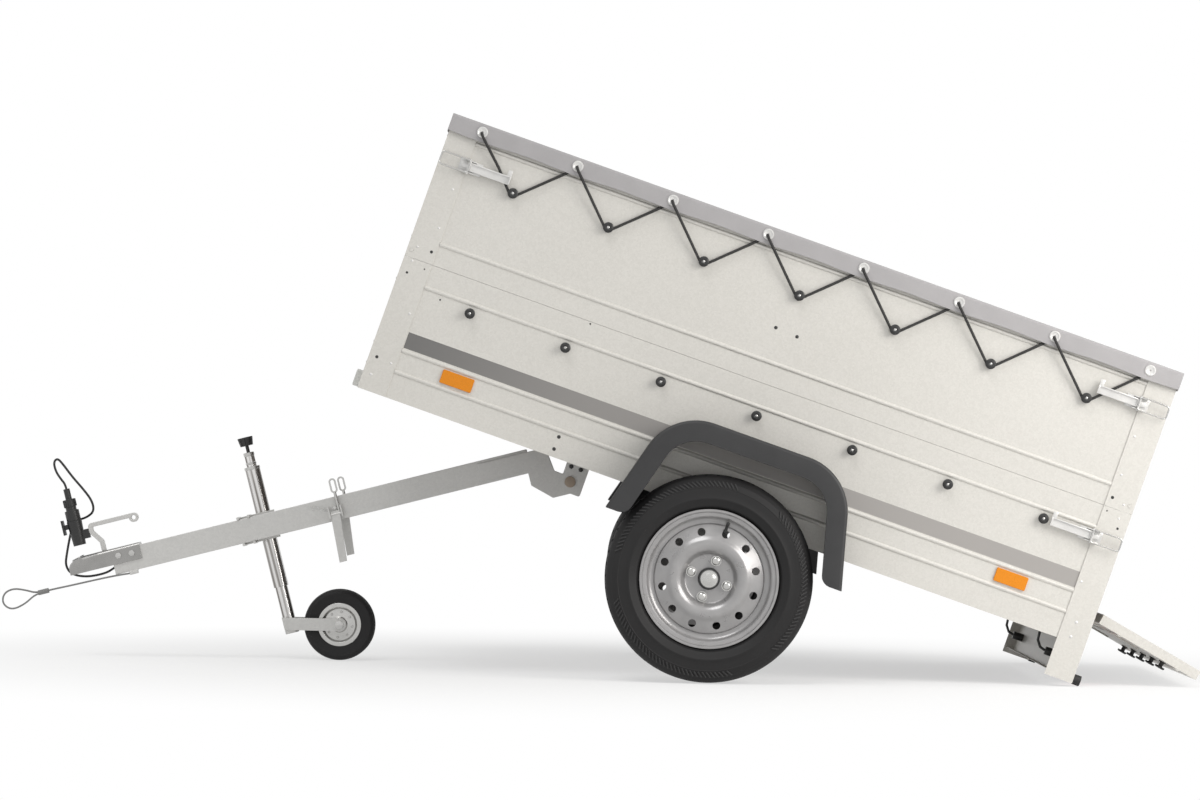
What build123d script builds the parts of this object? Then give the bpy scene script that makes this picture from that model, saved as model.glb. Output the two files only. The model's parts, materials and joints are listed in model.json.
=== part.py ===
from build123d import *
import math
import os

# A single-axle tipping box trailer, millimetres and degrees.
# x runs to the rear, y to the right-hand side, z up, and the wheels stand on z = 0.
# The bed is drawn level, from its front face and the underside of its sills, and then tipped
# back about the axle. The drawbar is drawn level from the tipping pivot, and then pitched.

# Bed
bed_length = 2050
bed_width = 1150
lower_height = 372          # sills to the seam between the fixed walls and the raised boards
raised_height = 398
sheet = 2                   # folded sheet of the walls
wall_depth = 25             # depth of a folded wall, lips included
seam_gap = 0.5
bead_half = 6               # pressed stiffening beads
bead_rise = 4
lower_beads = (72.6, 131.6, 310)
raised_beads = (431, 714)
sill_foot = 42
floor_under = 72
floor_thick = 9
fit = 0.3                   # clearance of pieces that seat on each other

# Corner posts
post_sheet = 3
post_side = 78
post_end = 40
post_drop = 102             # rear posts reach below the sills and carry the lamp bar
post_lap = 20               # how far the wall sheets reach behind the posts

# Drop boards at both ends
board_gap = 5
board_depth = 26
board_pin_radius = 5
board_pin_up = 20           # pin above the seam
board_pin_in = 13           # pin behind the outer face
tailgate_bottom = 68
tailgate_top_gap = 6
tailgate_hinge_out = 12     # hinge line behind the tailgate's outer face
hinge_pin_radius = 5
hinge_eye_radius = 9
hinge_eye_width = 40
hinge_offset = 330
hinge_strap_height = 150
hinge_strap = 4

# Running gear
tyre_radius = 273.5
tyre_width = 157
rim_radius = 166            # bead seat
flange_radius = 182.5
rim_width = 128
wheel_offset = 30           # hub face outboard of the wheel's middle plane
wheel_gap = 29.5            # between the bed's side and the tyre
wheel_track = bed_width + 2 * wheel_gap + tyre_width
axle_along = 1046           # from the bed's front face
axle_below = 161            # below the sills
bolt_circle = 50
hub_radius = 58
stub_radius = 20
axle_tube = 60
tube_wall = 4
arm_length = 160
arm_thick = 24
arm_height = 46

# Tipping pivot and drawbar
pivot_along = 612
pivot_below = 54
pivot_radius = 9
beam_top = 118              # above the pivot, with the drawbar level
beam_height = 67
beam_width = 60
beam_wall = 4
beam_front = 1295           # ahead of the pivot
beam_rear = 98
plate_thick = 5
bracket_thick = 5
bracket_gap = 1
bracket_ahead = 27          # bracket's front and rear edges from the pivot
bracket_behind = 38
bracket_under = 31          # bracket's lower edge below the pivot
plate_front = 240           # pivot plates' front edge, ahead of the pivot
plate_step = 108            # where the plates drop below the beam
plate_round = 32

# Ball coupling
ball_ahead = 1392
ball_radius = 25
socket_clearance = 0.25
socket_depth = 26
coupling_low = 79
coupling_rear = 1212
coupling_top = 125
# sections of the pressed housing: distance ahead of the pivot, width, top, corner radius
coupling_sections = ((coupling_rear, 68, coupling_top, 10), (1330, 68, coupling_top, 12), (1378, 63, 124.5, 16),
                     (1404, 53, 118, 18), (1416, 37, 109.5, 14), (1421.5, 20, 102, 8))

# Jockey wheel
jockey_ahead = 862
jockey_tube_radius = 21
jockey_inner_radius = 17.5
jockey_tube_top = 254
jockey_inner_low = -194
jockey_lift = 100           # how far the leg rises into the tube
jockey_tube_low = jockey_inner_low + jockey_lift + 2
jockey_trail = 135
jockey_axle_height = -235
jockey_radius = 100
jockey_width = 46

# Rows of cord knobs, eyelets and lacing
knob_first = 216.3
knob_rear = 218.5           # last knob, ahead of the rear face
knob_rows = (284.5, 623.5)
knob_count = 7
knob_step = (bed_length - knob_first - knob_rear) / (knob_count - 1)
knob_radius = 14
knob_height = 20
knob_stem = 6
eyelet_first = 86
eyelet_rear = 83.8
eyelet_count = 8
eyelet_step = (bed_length - eyelet_first - eyelet_rear) / (eyelet_count - 1)
eyelet_up = 25.7            # above the hem's lower edge
eyelet_radius = 15
eyelet_hole = 7
cord_radius = 3

# Cover
cover_sheet = 2.5
skirt_height = 50
skirt_stand = 10            # room behind the hem for the lacing

# Mudguards
guard_top = 226
guard_low = -75
guard_front = axle_along - 318
guard_rear = axle_along + 335
guard_splay = 15
guard_corner = 150
guard_skirt = 55
guard_wall = 4
guard_width = 200

# Reflectors, marker lamps, tail lamps and buffers
reflector_length = 88
reflector_height = 37
reflector_thick = 6
reflector_up = 104
reflector_front = 244
reflector_rear = 245        # ahead of the rear face
marker_depth = 20
marker_width = 60
marker_height = 46
marker_corner = 8
marker_up = 24
marker_in = 40
lamp_inset = 140
lamp_length = 210
lamp_height = 72
lamp_depth = 24
lens_depth = 16
lens_rim = 3
lead_radius = 3.5
lead_plug = 11
lead_reach = 30
lamp_bar_low = 88
lamp_bar_ahead = 48         # lamp bar's rear face ahead of the posts' rear faces
buffer_radius = 14
buffer_length = 21
buffer_below = 90


# Helpers that name the direction a profile is drawn out in
def plate(profile, y_low, y_high):
    return extrude(Plane.XZ.offset(-y_high) * profile, y_high - y_low)


def rail(profile, x_low, x_high):
    return extrude(Plane.YZ.offset(x_low) * profile, x_high - x_low)


def block(x_low, x_high, y_low, y_high, z_low, z_high):
    middle = Pos((x_low + x_high) / 2, (y_low + y_high) / 2, (z_low + z_high) / 2)
    return middle * Box(x_high - x_low, y_high - y_low, z_high - z_low)


def rod_y(x, z, radius, y_low, y_high):
    return Pos(x, (y_low + y_high) / 2, z) * Rot(90, 0, 0) * Cylinder(radius, y_high - y_low)


def rod_x(y, z, radius, x_low, x_high):
    return Pos((x_low + x_high) / 2, y, z) * Rot(0, 90, 0) * Cylinder(radius, x_high - x_low)


def rod_z(x, y, radius, z_low, z_high):
    return Pos(x, y, (z_low + z_high) / 2) * Cylinder(radius, z_high - z_low)


def outline(*points):
    return make_face(Polyline(*points, close=True))


def both_sides(shape):
    return [shape, mirror(shape, about=Plane.XZ)]


def turned(*points):
    return revolve(make_face(Polyline(*points, close=True)), Axis.Y)


def cord_tube(points, radius):
    path = Polyline(*points)
    start = Plane(origin=path @ 0, z_dir=path % 0)
    return sweep(start * Circle(radius), path=path, transition=Transition.RIGHT)


# Folded wall with pressed beads, its outer face on x = 0 and looking along +x
def pressed_section(bottom, top, beads, top_lip, bottom_lip):
    edges = []
    at = (0, bottom)
    for bead in beads:
        edges.append(Line(at, (0, bead - bead_half)))
        edges.append(ThreePointArc((0, bead - bead_half), (bead_rise, bead), (0, bead + bead_half)))
        at = (0, bead + bead_half)
    edges.append(Polyline(at, (0, top), (-top_lip, top), (-top_lip, top - sheet), (-sheet, top - sheet)))
    at = (-sheet, top - sheet)
    inner_half = bead_half - sheet / 2
    for bead in reversed(beads):
        edges.append(Line(at, (-sheet, bead + inner_half)))
        crest = (bead_rise - sheet, bead)
        edges.append(ThreePointArc((-sheet, bead + inner_half), crest, (-sheet, bead - inner_half)))
        at = (-sheet, bead - inner_half)
    foot = ((-sheet, bottom + sheet), (-bottom_lip, bottom + sheet), (-bottom_lip, bottom), (0, bottom))
    edges.append(Polyline(at, *foot))
    return make_face(edges)


def end_board(bottom, top, beads, half_width):
    body = plate(pressed_section(bottom, top, beads, board_depth, board_depth), -half_width, half_width)
    for side in (-1, 1):
        inner = side * (half_width - sheet)
        outer = side * half_width
        body += block(-board_depth, 0, min(inner, outer), max(inner, outer), bottom, top)
    return body


def side_panel(bottom, top, beads, bottom_lip):
    beaded = bed_length / 2 - post_side - seam_gap
    flat = bed_length / 2 - post_side + post_lap
    panel = plate(pressed_section(bottom, top, beads, wall_depth, bottom_lip), -beaded, beaded)
    plain = pressed_section(bottom, top, (), wall_depth, bottom_lip)
    panel += plate(plain, -flat, -beaded)
    panel += plate(plain, beaded, flat)
    return panel


# Places in the level bed
wall_face = bed_width / 2 - post_sheet
seam = lower_height
raised_low = lower_height + seam_gap
bed_top = raised_low + raised_height
floor_top = floor_under + floor_thick
middle_x = bed_length / 2
board_half = bed_width / 2 - post_end - board_gap

side_low = side_panel(0, lower_height, lower_beads, sill_foot)
side_high = side_panel(raised_low, bed_top, raised_beads, wall_depth)
at_left = Pos(middle_x, -wall_face, 0) * Rot(0, 0, -90)
at_right = Pos(middle_x, wall_face, 0) * Rot(0, 0, 90)
bed = {}
bed["side_wall_left"] = at_left * side_low
bed["side_wall_right"] = at_right * side_low
bed["side_board_left"] = at_left * side_high
bed["side_board_right"] = at_right * side_high

# Corner posts, folded round each corner, in a lower and a raised length
def corner_post(low, high):
    half = bed_width / 2
    corner = outline(
        (0, half), (-post_side, half), (-post_side, half - post_sheet),
        (-post_sheet, half - post_sheet), (-post_sheet, half - post_end), (0, half - post_end))
    return extrude(Plane.XY.offset(low) * corner, high - low)


pin_z = seam + board_pin_up
pin_hole = rod_y(-board_pin_in, pin_z, board_pin_radius + fit, 0, bed_width)
front_post = [corner_post(0, seam), corner_post(raised_low, bed_top) - pin_hole]
rear_post = [corner_post(-post_drop, seam), corner_post(raised_low, bed_top) - pin_hole]
bed["front_posts"] = [p for s in front_post for p in both_sides(mirror(s, about=Plane.YZ))]
bed["rear_posts"] = [Pos(bed_length, 0, 0) * p for s in rear_post for p in both_sides(s)]

# Floor and the members under it, open in the middle ahead of the pivot for the drawbar
floor_front = wall_depth + 1
floor_rear = bed_length - board_depth - board_gap
floor_half = wall_face - sheet - fit
bed["floor_panel"] = block(floor_front, floor_rear, -floor_half, floor_half, floor_under, floor_top)
member_width = 45
member_sheet = 3
beam_room = beam_width / 2 + 12


def cross_member(along, y_low, y_high):
    section = outline(
        (0, sheet), (member_width, sheet), (member_width, sheet + member_sheet),
        (member_sheet, sheet + member_sheet), (member_sheet, floor_under - member_sheet),
        (member_width, floor_under - member_sheet),
        (member_width, floor_under), (0, floor_under))
    return Pos(along, 0, 0) * plate(section, y_low, y_high)


rear_member_x = floor_rear - member_width
mid_member_x = bed_length - 510
front_member_x = 260
member_places = (pivot_along - member_width / 2, axle_along - arm_length, axle_along + 40, mid_member_x)
chassis = [cross_member(x, -floor_half, floor_half) for x in member_places]
chassis += both_sides(cross_member(front_member_x, beam_room, floor_half))

# Tailgate hinge lugs and pins on the rear cross member
hinge_x = bed_length + tailgate_hinge_out
hinge_z = tailgate_bottom - 6
lug_thick = 6
rear_member = cross_member(rear_member_x, -floor_half, floor_half)
for side in (-1, 1):
    for edge in (-1, 1):
        mid = side * hinge_offset + edge * (hinge_eye_width + lug_thick + 2 * fit) / 2
        lug_low = mid - lug_thick / 2
        lug_high = mid + lug_thick / 2
        rear_member += block(rear_member_x + member_sheet / 2, hinge_x, lug_low, lug_high,
                             hinge_z - hinge_eye_radius, hinge_z + 4)
        rear_member += rod_y(hinge_x, hinge_z, hinge_eye_radius, lug_low, lug_high)
    centre = side * hinge_offset
    reach = hinge_eye_width / 2 + lug_thick + 2
    rear_member += rod_y(hinge_x, hinge_z, hinge_pin_radius, centre - reach, centre + reach)
bed["chassis_frame"] = chassis + [rear_member]

# Fixed lower front wall with the notch that the drawbar closes into
front_low = end_board(0, lower_height - tailgate_top_gap, lower_beads, board_half + board_gap)
front_low -= block(-2 * board_depth, board_depth, -beam_room, beam_room, -1, floor_under)
bed["front_wall"] = Rot(0, 0, 180) * front_low

# Drop boards: the raised boards swing on pins in the posts
board_bottom = seam + 4
board_top = bed_top - 1
board = end_board(board_bottom, board_top, raised_beads, board_half)
for pin in both_sides(rod_y(-board_pin_in, pin_z, board_pin_radius, board_half - 1, bed_width / 2 + 1)):
    board += pin
front_board = Rot(0, 0, 180) * board
rear_board = Pos(bed_length, 0, 0) * board

# Tailgate with strap hinges, drawn closed
gate = end_board(tailgate_bottom, seam - tailgate_top_gap, lower_beads[1:], board_half)
for side in (-1, 1):
    low_y = side * hinge_offset - hinge_eye_width / 2
    high_y = side * hinge_offset + hinge_eye_width / 2
    strap = block(0, hinge_strap, low_y, high_y, hinge_z, tailgate_bottom + hinge_strap_height)
    neck = block(0, tailgate_hinge_out, low_y, high_y, hinge_z + 2, hinge_z + hinge_eye_radius)
    eye = rod_y(tailgate_hinge_out, hinge_z, hinge_eye_radius, low_y, high_y)
    bore = rod_y(tailgate_hinge_out, hinge_z, hinge_pin_radius + fit / 2, low_y - 1, high_y + 1)
    gate += strap + neck + eye
    gate -= bore
tailgate = Pos(bed_length, 0, 0) * gate


# Cord knobs: a stem between a foot and a wide head
knob_foot = 3
knob_head = 6


def knob():
    neck = knob_height - knob_head
    return turned((0, 0), (10, 0), (10, knob_foot), (knob_stem, knob_foot), (knob_stem, neck),
                  (knob_radius, neck), (knob_radius, knob_height - 2), (knob_radius - 3, knob_height),
                  (0, knob_height))


knob_places = [(knob_first + knob_step * n, row) for row in knob_rows for n in range(knob_count)]
bed["side_knobs"] = [k for x, z in knob_places for k in both_sides(Pos(x, wall_face, z) * knob())]
gate_knob_count = 5
gate_knob_step = 200
gate_knobs = []
for n in range(gate_knob_count):
    across = gate_knob_step * (n - (gate_knob_count - 1) / 2)
    gate_knobs.append(Pos(bed_length, across, knob_rows[0]) * Rot(0, 0, -90) * knob())


# Over-centre board latches, drawn on y = 0 looking along +y, the closing end on x = 0
lever_low = 2 * cord_radius + 3 + fit   # the lacing runs behind the lever
lever_end = -86
lever_tip = -194
lever_half = 11
bail_wire = 5
bail_half = 13
bail_end = -4
latch_half = 17
latch_sheet = 3


def latch():
    base = block(-118, -55, 0, latch_sheet, -latch_half, latch_half)
    for low in (-latch_half, latch_half - latch_sheet):
        base += block(-100, -62, latch_sheet, lever_low + 4, low, low + latch_sheet)
    base += block(-90, -62, latch_sheet, lever_low - fit, -6, 6)
    lever = block(lever_tip, lever_end, lever_low, lever_low + sheet, -lever_half, lever_half)
    for low in (-lever_half, lever_half - sheet):
        lever += block(lever_tip, lever_end, lever_low + sheet, lever_low + 7, low, low + sheet)
    lever += block(lever_tip - sheet, lever_tip, lever_low, lever_low + 12, -lever_half, lever_half)
    bail_start = lever_end + fit
    bail = block(bail_start, bail_end, lever_low, lever_low + bail_wire, -bail_half, bail_half)
    eye_half = bail_half - bail_wire
    bail -= block(bail_start + bail_wire, bail_end - bail_wire, 0, bed_width, -eye_half, eye_half)
    return base, lever, bail


# latch rows: end of the bed it closes (1 rear, -1 front), height
latch_rows = ((1, 657), (1, 285), (-1, 651))
latch_bodies = []
latch_bails = []
for end, height in latch_rows:
    for piece_index, piece in enumerate(latch()):
        placed = Pos(bed_length, bed_width / 2, height) * piece
        if end < 0:
            placed = Pos(0, bed_width / 2, height) * mirror(piece, about=Plane.YZ)
        (latch_bails if piece_index == 2 else latch_bodies).extend(both_sides(placed))
bed["board_latches"] = latch_bodies
bed["latch_bails"] = latch_bails

# Side reflectors and front marker lamps
reflector = fillet(Box(reflector_length, reflector_thick, reflector_height).edges().filter_by(Axis.Y), 3)
reflector_out = wall_face + reflector_thick / 2
reflectors = []
for x in (reflector_front, bed_length - reflector_rear):
    reflectors += both_sides(Pos(x, reflector_out, reflector_up) * reflector)
bed["side_reflectors"] = reflectors
marker = fillet(Box(marker_depth, marker_width, marker_height).edges().filter_by(Axis.X), marker_corner)
bed["front_markers"] = both_sides(Pos(-marker_depth / 2, board_half - marker_in, marker_up) * marker)

# Cover: a flat top, a hem on each side with eyelets, and a flap at each end
hem_in = bed_width / 2 + skirt_stand
hem_out = hem_in + sheet
hem_low = bed_top + fit + cover_sheet - skirt_height
hem_high = bed_top + fit
eyelet_height = hem_low + eyelet_up
flap_gap = 2
flap_out = flap_gap + sheet
cover_top = block(-flap_out, bed_length + flap_out, -hem_out, hem_out, hem_high, hem_high + cover_sheet)
bed["cover_top"] = fillet(cover_top.edges().filter_by(Axis.Z), 12)
hem = block(0, bed_length, hem_in, hem_out, hem_low, hem_high)
eyelet_places = [eyelet_first + eyelet_step * n for n in range(eyelet_count)]
for x in eyelet_places:
    hem -= rod_y(x, eyelet_height, eyelet_hole + 1, hem_in - 1, hem_out + 1)
bed["cover_skirts"] = both_sides(hem)
flap = block(-flap_out, -flap_gap, -hem_in, hem_in, hem_low, hem_high)
bed["cover_end_flaps"] = [flap, Pos(bed_length, 0, 0) * mirror(flap, about=Plane.YZ)]
eyelet_throat = eyelet_hole + 1
eyelet = turned((eyelet_hole, -sheet), (eyelet_throat, -sheet), (eyelet_throat, 0), (eyelet_radius, 0),
                (eyelet_radius, 1), (eyelet_throat, 3), (eyelet_hole, 3))
eyelets = []
for x in eyelet_places:
    eyelets += both_sides(Pos(x, hem_out, eyelet_height) * eyelet)
bed["cover_eyelets"] = eyelets

# Elastic lacing: out through an eyelet, round the knob below, back up behind the hem
wrap_step = 60
wrap = (knob_stem + cord_radius + fit) / math.cos(math.radians(wrap_step / 2))
behind = wall_face + (knob_foot + knob_height - knob_head) / 2
in_front = hem_out + cord_radius + 7
top_row = knob_rows[1]
lace = []
for n in range(knob_count):
    x = eyelet_places[n]
    knob_x = knob_first + knob_step * n
    points = [(x, behind + 2, eyelet_height), (x + 1, in_front, eyelet_height - 1)]
    if n == 0:
        points.append((x + 72, behind, latch_rows[2][1] + 24))
    for turn in (270 - wrap_step, 270, 270 + wrap_step):
        angle = math.radians(turn)
        points.append((knob_x + wrap * math.cos(angle), behind, top_row + wrap * math.sin(angle)))
    points.append((eyelet_places[n + 1] - 6, behind, eyelet_height - 12))
    lace.append(cord_tube(points, cord_radius))
bed["lacing_right"] = lace
bed["lacing_left"] = [mirror(s, about=Plane.XZ) for s in lace]

# Mudguards: a splayed arch with an outer skirt and a flange on the side wall
def guard_arch(inset):
    top = guard_top - inset
    lean = math.tan(math.radians(guard_splay))
    side_inset = inset / math.cos(math.radians(guard_splay))
    front_low_x = guard_front + side_inset
    rear_low_x = guard_rear - side_inset
    rise = (top - guard_low) * lean
    corners = outline((front_low_x, guard_low), (front_low_x + rise, top),
                      (rear_low_x - rise, top), (rear_low_x, guard_low))
    upper = corners.vertices().sort_by(Axis.Y)[-2:]
    return fillet(upper, guard_corner - inset)


flange_in = wall_face + bead_rise + fit
guard_out = flange_in + guard_width
arch = guard_arch(0)
guard = plate(arch - guard_arch(guard_wall), flange_in, guard_out)
guard += plate(arch - guard_arch(guard_skirt), guard_out - guard_wall, guard_out)
guard += plate(arch - guard_arch(guard_skirt / 2), flange_in, flange_in + guard_wall)
bed["mudguard_right"] = guard
bed["mudguard_left"] = mirror(guard, about=Plane.XZ)

# Rubber-sprung axle: a square tube under the members, trailing arms and stub axles
tube_below = axle_tube / 2 + fit
arm_drop = axle_below - tube_below
arm_run = math.sqrt(arm_length**2 - arm_drop**2)
tube_x = axle_along - arm_run
arm_in = wall_face - arm_thick
tube_section = fillet(Rectangle(axle_tube, axle_tube).vertices(), 6)
tube_section -= Rectangle(axle_tube - 2 * tube_wall, axle_tube - 2 * tube_wall)
bed["axle_beam"] = Pos(tube_x, 0, -tube_below) * plate(tube_section, -arm_in + fit, arm_in - fit)
hub_face = wheel_track / 2 + wheel_offset
arm_angle = math.degrees(math.atan2(arm_drop, arm_run))
arm_blank = SlotCenterToCenter(arm_length, arm_height)
arm = Pos((tube_x + axle_along) / 2, 0, -(tube_below + axle_below) / 2) * Rot(0, arm_angle, 0) * plate(
    arm_blank, arm_in, arm_in + arm_thick)
arm += rod_y(axle_along, -axle_below, stub_radius, arm_in, hub_face - 20)
bed["axle_arms"] = both_sides(arm)

# Tipping bracket under the bed, with its bolt
bracket_half = beam_width / 2 + plate_thick + bracket_gap
bracket_low = -pivot_below - bracket_under
bracket_front = pivot_along - bracket_ahead
bracket_rear = pivot_along + bracket_behind
bracket_top = sheet - fit
bracket_side = outline((bracket_front, bracket_top), (bracket_rear, bracket_top),
                       (bracket_rear, bracket_low + 3), (bracket_rear - 3, bracket_low),
                       (bracket_front + 1, bracket_low))
bracket = plate(bracket_side, bracket_half, bracket_half + bracket_thick)
bracket += plate(bracket_side, -bracket_half - bracket_thick, -bracket_half)
bracket += block(bracket_front, bracket_rear, -bracket_half - 30, bracket_half + 30,
                 bracket_top - bracket_thick, bracket_top)
bracket -= rod_y(pivot_along, -pivot_below, pivot_radius + fit / 2, -bed_width, bed_width)
bed["tilt_bracket"] = bracket
bolt_start = bracket_half + bracket_thick + fit
bolt_end = bolt_start + 8
bolt = rod_y(pivot_along, -pivot_below, pivot_radius, -bolt_end, bolt_end)
bolt += rod_y(pivot_along, -pivot_below, 1.6 * pivot_radius, -bolt_end, -bolt_start)
bolt += rod_y(pivot_along, -pivot_below, 1.6 * pivot_radius, bolt_start, bolt_end)
bed["tilt_bolt"] = bolt

# Lamp bar between the rear posts, lamps on its rear face, plugs and leads on its front
bar_rear = bed_length - lamp_bar_ahead
bar_half = bed_width / 2 - post_sheet - fit
bar_flange = bar_rear - 22
bar_section = outline((bar_rear, -sheet), (bar_rear, -lamp_bar_low), (bar_flange, -lamp_bar_low),
                      (bar_flange, -lamp_bar_low + sheet), (bar_rear - sheet, -lamp_bar_low + sheet),
                      (bar_rear - sheet, -2 * sheet), (bar_flange, -2 * sheet), (bar_flange, -sheet))
bed["light_bar"] = plate(bar_section, -bar_half, bar_half)
lamp_z = -(lamp_bar_low + sheet) / 2
lens_x = bar_rear + lamp_depth
lead_x = bar_rear - sheet
lamps = []
lenses = []
leads = []
for y in (lamp_inset - bar_half, bar_half - lamp_inset):
    half_length = lamp_length / 2
    half_height = lamp_height / 2
    lamps.append(block(bar_rear, lens_x, y - half_length, y + half_length,
                       lamp_z - half_height, lamp_z + half_height))
    half_length -= lens_rim
    half_height -= lens_rim
    lens = block(lens_x, lens_x + lens_depth, y - half_length, y + half_length,
                 lamp_z - half_height, lamp_z + half_height)
    lenses.append(fillet(lens.faces().sort_by(Axis.X)[-1].edges(), 2 * lens_rim))
    route = [(lead_x - lead_reach, y, lamp_z), (lead_x - 1.5 * lead_reach, y, lamp_z + 4),
             (lead_x - 1.9 * lead_reach, y, lamp_z + 20), (lead_x - 2 * lead_reach, y, 0)]
    leads.append(rod_x(y, lamp_z, lead_plug, lead_x - lead_reach, lead_x) + cord_tube(route, lead_radius))
bed["rear_lamps"] = lamps
bed["rear_lamp_lenses"] = lenses
bed["lamp_leads"] = leads
buffer_y = bed_width / 2 - post_end / 2
buffer_end = bed_length + buffer_length
bed["rear_buffers"] = both_sides(rod_x(buffer_y, -buffer_below, buffer_radius, bed_length, buffer_end))


# Wheels, drawn about y with the outer face along +y
half_tread = tyre_width / 2
bead_side = rim_width / 2 - 7 - fit
# half of the tyre's section, from the bead out to the tread: radius, distance from the middle plane
tyre_half = ((rim_radius + fit, bead_side), (flange_radius + fit, bead_side),
             (flange_radius + 8, half_tread - 8.5), (tyre_radius - 58.5, half_tread),
             (tyre_radius - 25.5, half_tread - 4), (tyre_radius - 9.5, half_tread - 16.5),
             (tyre_radius - 1, half_tread - 30.5), (tyre_radius, 20))
tyre = turned(*[(radius, -aside) for radius, aside in tyre_half], *reversed(tyre_half))
half_rim = rim_width / 2
disc_out = wheel_offset
rim = turned((flange_radius, -half_rim), (flange_radius, -half_rim + 4), (rim_radius, -half_rim + 7),
             (rim_radius, -34), (150, -22), (150, 20), (rim_radius, 34), (rim_radius, half_rim - 7),
             (flange_radius, half_rim - 4),
             (flange_radius, half_rim), (flange_radius - 6, half_rim), (162, half_rim - 14), (162, 34),
             (146, 29), (142, disc_out + 6), (112, disc_out + 17.5), (94, disc_out + 26), (76, disc_out + 20),
             (62, disc_out + 5), (29, disc_out + 5), (29, disc_out), (63, disc_out), (78, disc_out + 15),
             (94, disc_out + 21), (112, disc_out + 12.5), (137, disc_out + 2), (141, 16), (144, -24),
             (160, -38), (160, -half_rim))
vent_count = 12
vent_radius = 10.5
vent_circle = 124
for n in range(vent_count):
    angle = math.radians(360 / vent_count * n)
    vent_at = (vent_circle * math.cos(angle), vent_circle * math.sin(angle))
    rim -= rod_y(*vent_at, vent_radius, disc_out, disc_out + 40)
bolt_radius = 6
bolt_head = 10
bolt_angles = [math.radians(69 + 90 * n) for n in range(4)]
bolt_places = [(bolt_circle * math.cos(a), bolt_circle * math.sin(a)) for a in bolt_angles]
for x, z in bolt_places:
    rim -= rod_y(x, z, bolt_radius + fit, disc_out - 1, disc_out + 12)
hub_low = -(wheel_gap + half_tread + post_sheet - 26)
hub = turned((stub_radius + fit, hub_low), (46, hub_low), (46, disc_out - 26), (hub_radius + 8, disc_out - 14),
             (hub_radius + 8, disc_out - fit), (28, disc_out - fit), (28, disc_out + 14), (22, disc_out + 26),
             (0, disc_out + 28), (0, disc_out - 15), (stub_radius + fit, disc_out - 15))
for x, z in bolt_places:
    hub += rod_y(x, z, bolt_radius, disc_out - 10, disc_out + 8)
    hub += rod_y(x, z, bolt_head, disc_out + 5 + fit, disc_out + 17)

# The drawbar, level, from the pivot: a folded tube with pivot plates at its rear end
beam_low = beam_top - beam_height
beam_bore = Rectangle(beam_width - 2 * beam_wall, beam_height - 2 * beam_wall)
beam_section = Rectangle(beam_width, beam_height) - beam_bore
beam = Pos(0, 0, beam_top - beam_height / 2) * rail(beam_section, -beam_front, -beam_rear)
bar = {}
plate_in = beam_width / 2
plate_edge = 8
plate_rear = bracket_ahead + 18
web_low = pivot_below + bracket_top - bracket_thick
plate_side = outline((-plate_front, beam_low + plate_edge), (-plate_front, beam_top - plate_edge),
                     (-beam_rear, beam_top - plate_edge), (-plate_rear, beam_top - plate_edge),
                     (-bracket_ahead - 9, web_low - 10), (-30, 0), (-plate_step, beam_low + plate_edge))
plate_side += Circle(plate_round)
plate_side += outline((-plate_step, beam_top - plate_edge), (-plate_rear, beam_top - plate_edge),
                      (-bracket_ahead - 9, web_low - 10), (-12, 24),
                      (0, -plate_round), (-57, -plate_round), (-plate_step, 16))
plate_solid = plate(plate_side, plate_in, plate_in + plate_thick)
plate_solid -= rod_y(0, 0, pivot_radius + fit / 2, 0, bed_width)
bar["drawbar_plates"] = both_sides(plate_solid)

# Coupling head: a pressed housing over the beam's end, rounded down to a nose round the ball socket
sections = []
for ahead, width, top, corner in coupling_sections:
    across = Plane(origin=(-ahead, 0, top - coupling_top / 2), x_dir=(0, 1, 0), z_dir=(-1, 0, 0))
    sections.append(across * RectangleRounded(width, coupling_top, corner))
head = loft(sections, ruled=True)
head -= block(-2 * ball_ahead, 0, -bed_width, bed_width, -bed_width, coupling_low)
cheek = beam_width / 2 + fit
head -= block(-beam_front - 5, 0, -cheek, cheek, 0, beam_top + fit)
head -= block(-beam_front - 57, -beam_front - 5, -cheek + 6, cheek - 6, 0, beam_top - 6)
socket_radius = ball_radius + socket_clearance
head -= rod_z(-ball_ahead, 0, socket_radius, coupling_low - 1, coupling_low + socket_depth)
bar["coupling_head"] = head
handle_thick = 12
handle_half = 11
foot_x = -1314
stem_x = -1336
arm_z = 203
curl_x = -1212
curl_z = 196
curl_radius = 13
handle_line = FilletPolyline((foot_x, coupling_top + fit), (foot_x, 152), (stem_x, 184), (stem_x, arm_z),
                             (curl_x, arm_z), radius=6)
handle = plate(trace(handle_line, handle_thick), -handle_half, handle_half)
handle += rod_y(curl_x, curl_z, curl_radius, -handle_half, handle_half)
handle -= rod_y(curl_x, curl_z, curl_radius / 2, -handle_half - 1, handle_half + 1)
bar["coupling_handle"] = handle

# Parked plug: its holder stands against the handle's stem
plug_x = -1377
holder_low = 156
holder_top = 226
holder = Pos(plug_x, 0, (holder_low + holder_top) / 2) * Cone(17.5, 21.5, holder_top - holder_low)
holder += block(plug_x + 12, stem_x - handle_thick / 2 - fit, -10, 10, 170, 196)
holder += block(plug_x - 32, plug_x - 10, -8, 8, 206, 220)
holder += block(plug_x - 36, plug_x - 30, -14, 14, 192, 234)
bar["plug_holder"] = holder
# the plug's steps: radius, top
plug = None
plug_low = holder_top
for radius, plug_top in ((20, 256), (15, 266), (17, 288), (9, 318)):
    step = rod_z(plug_x, 0, radius, plug_low, plug_top)
    plug = step if plug is None else plug + step
    plug_low = plug_top
bar["plug"] = plug

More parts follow.
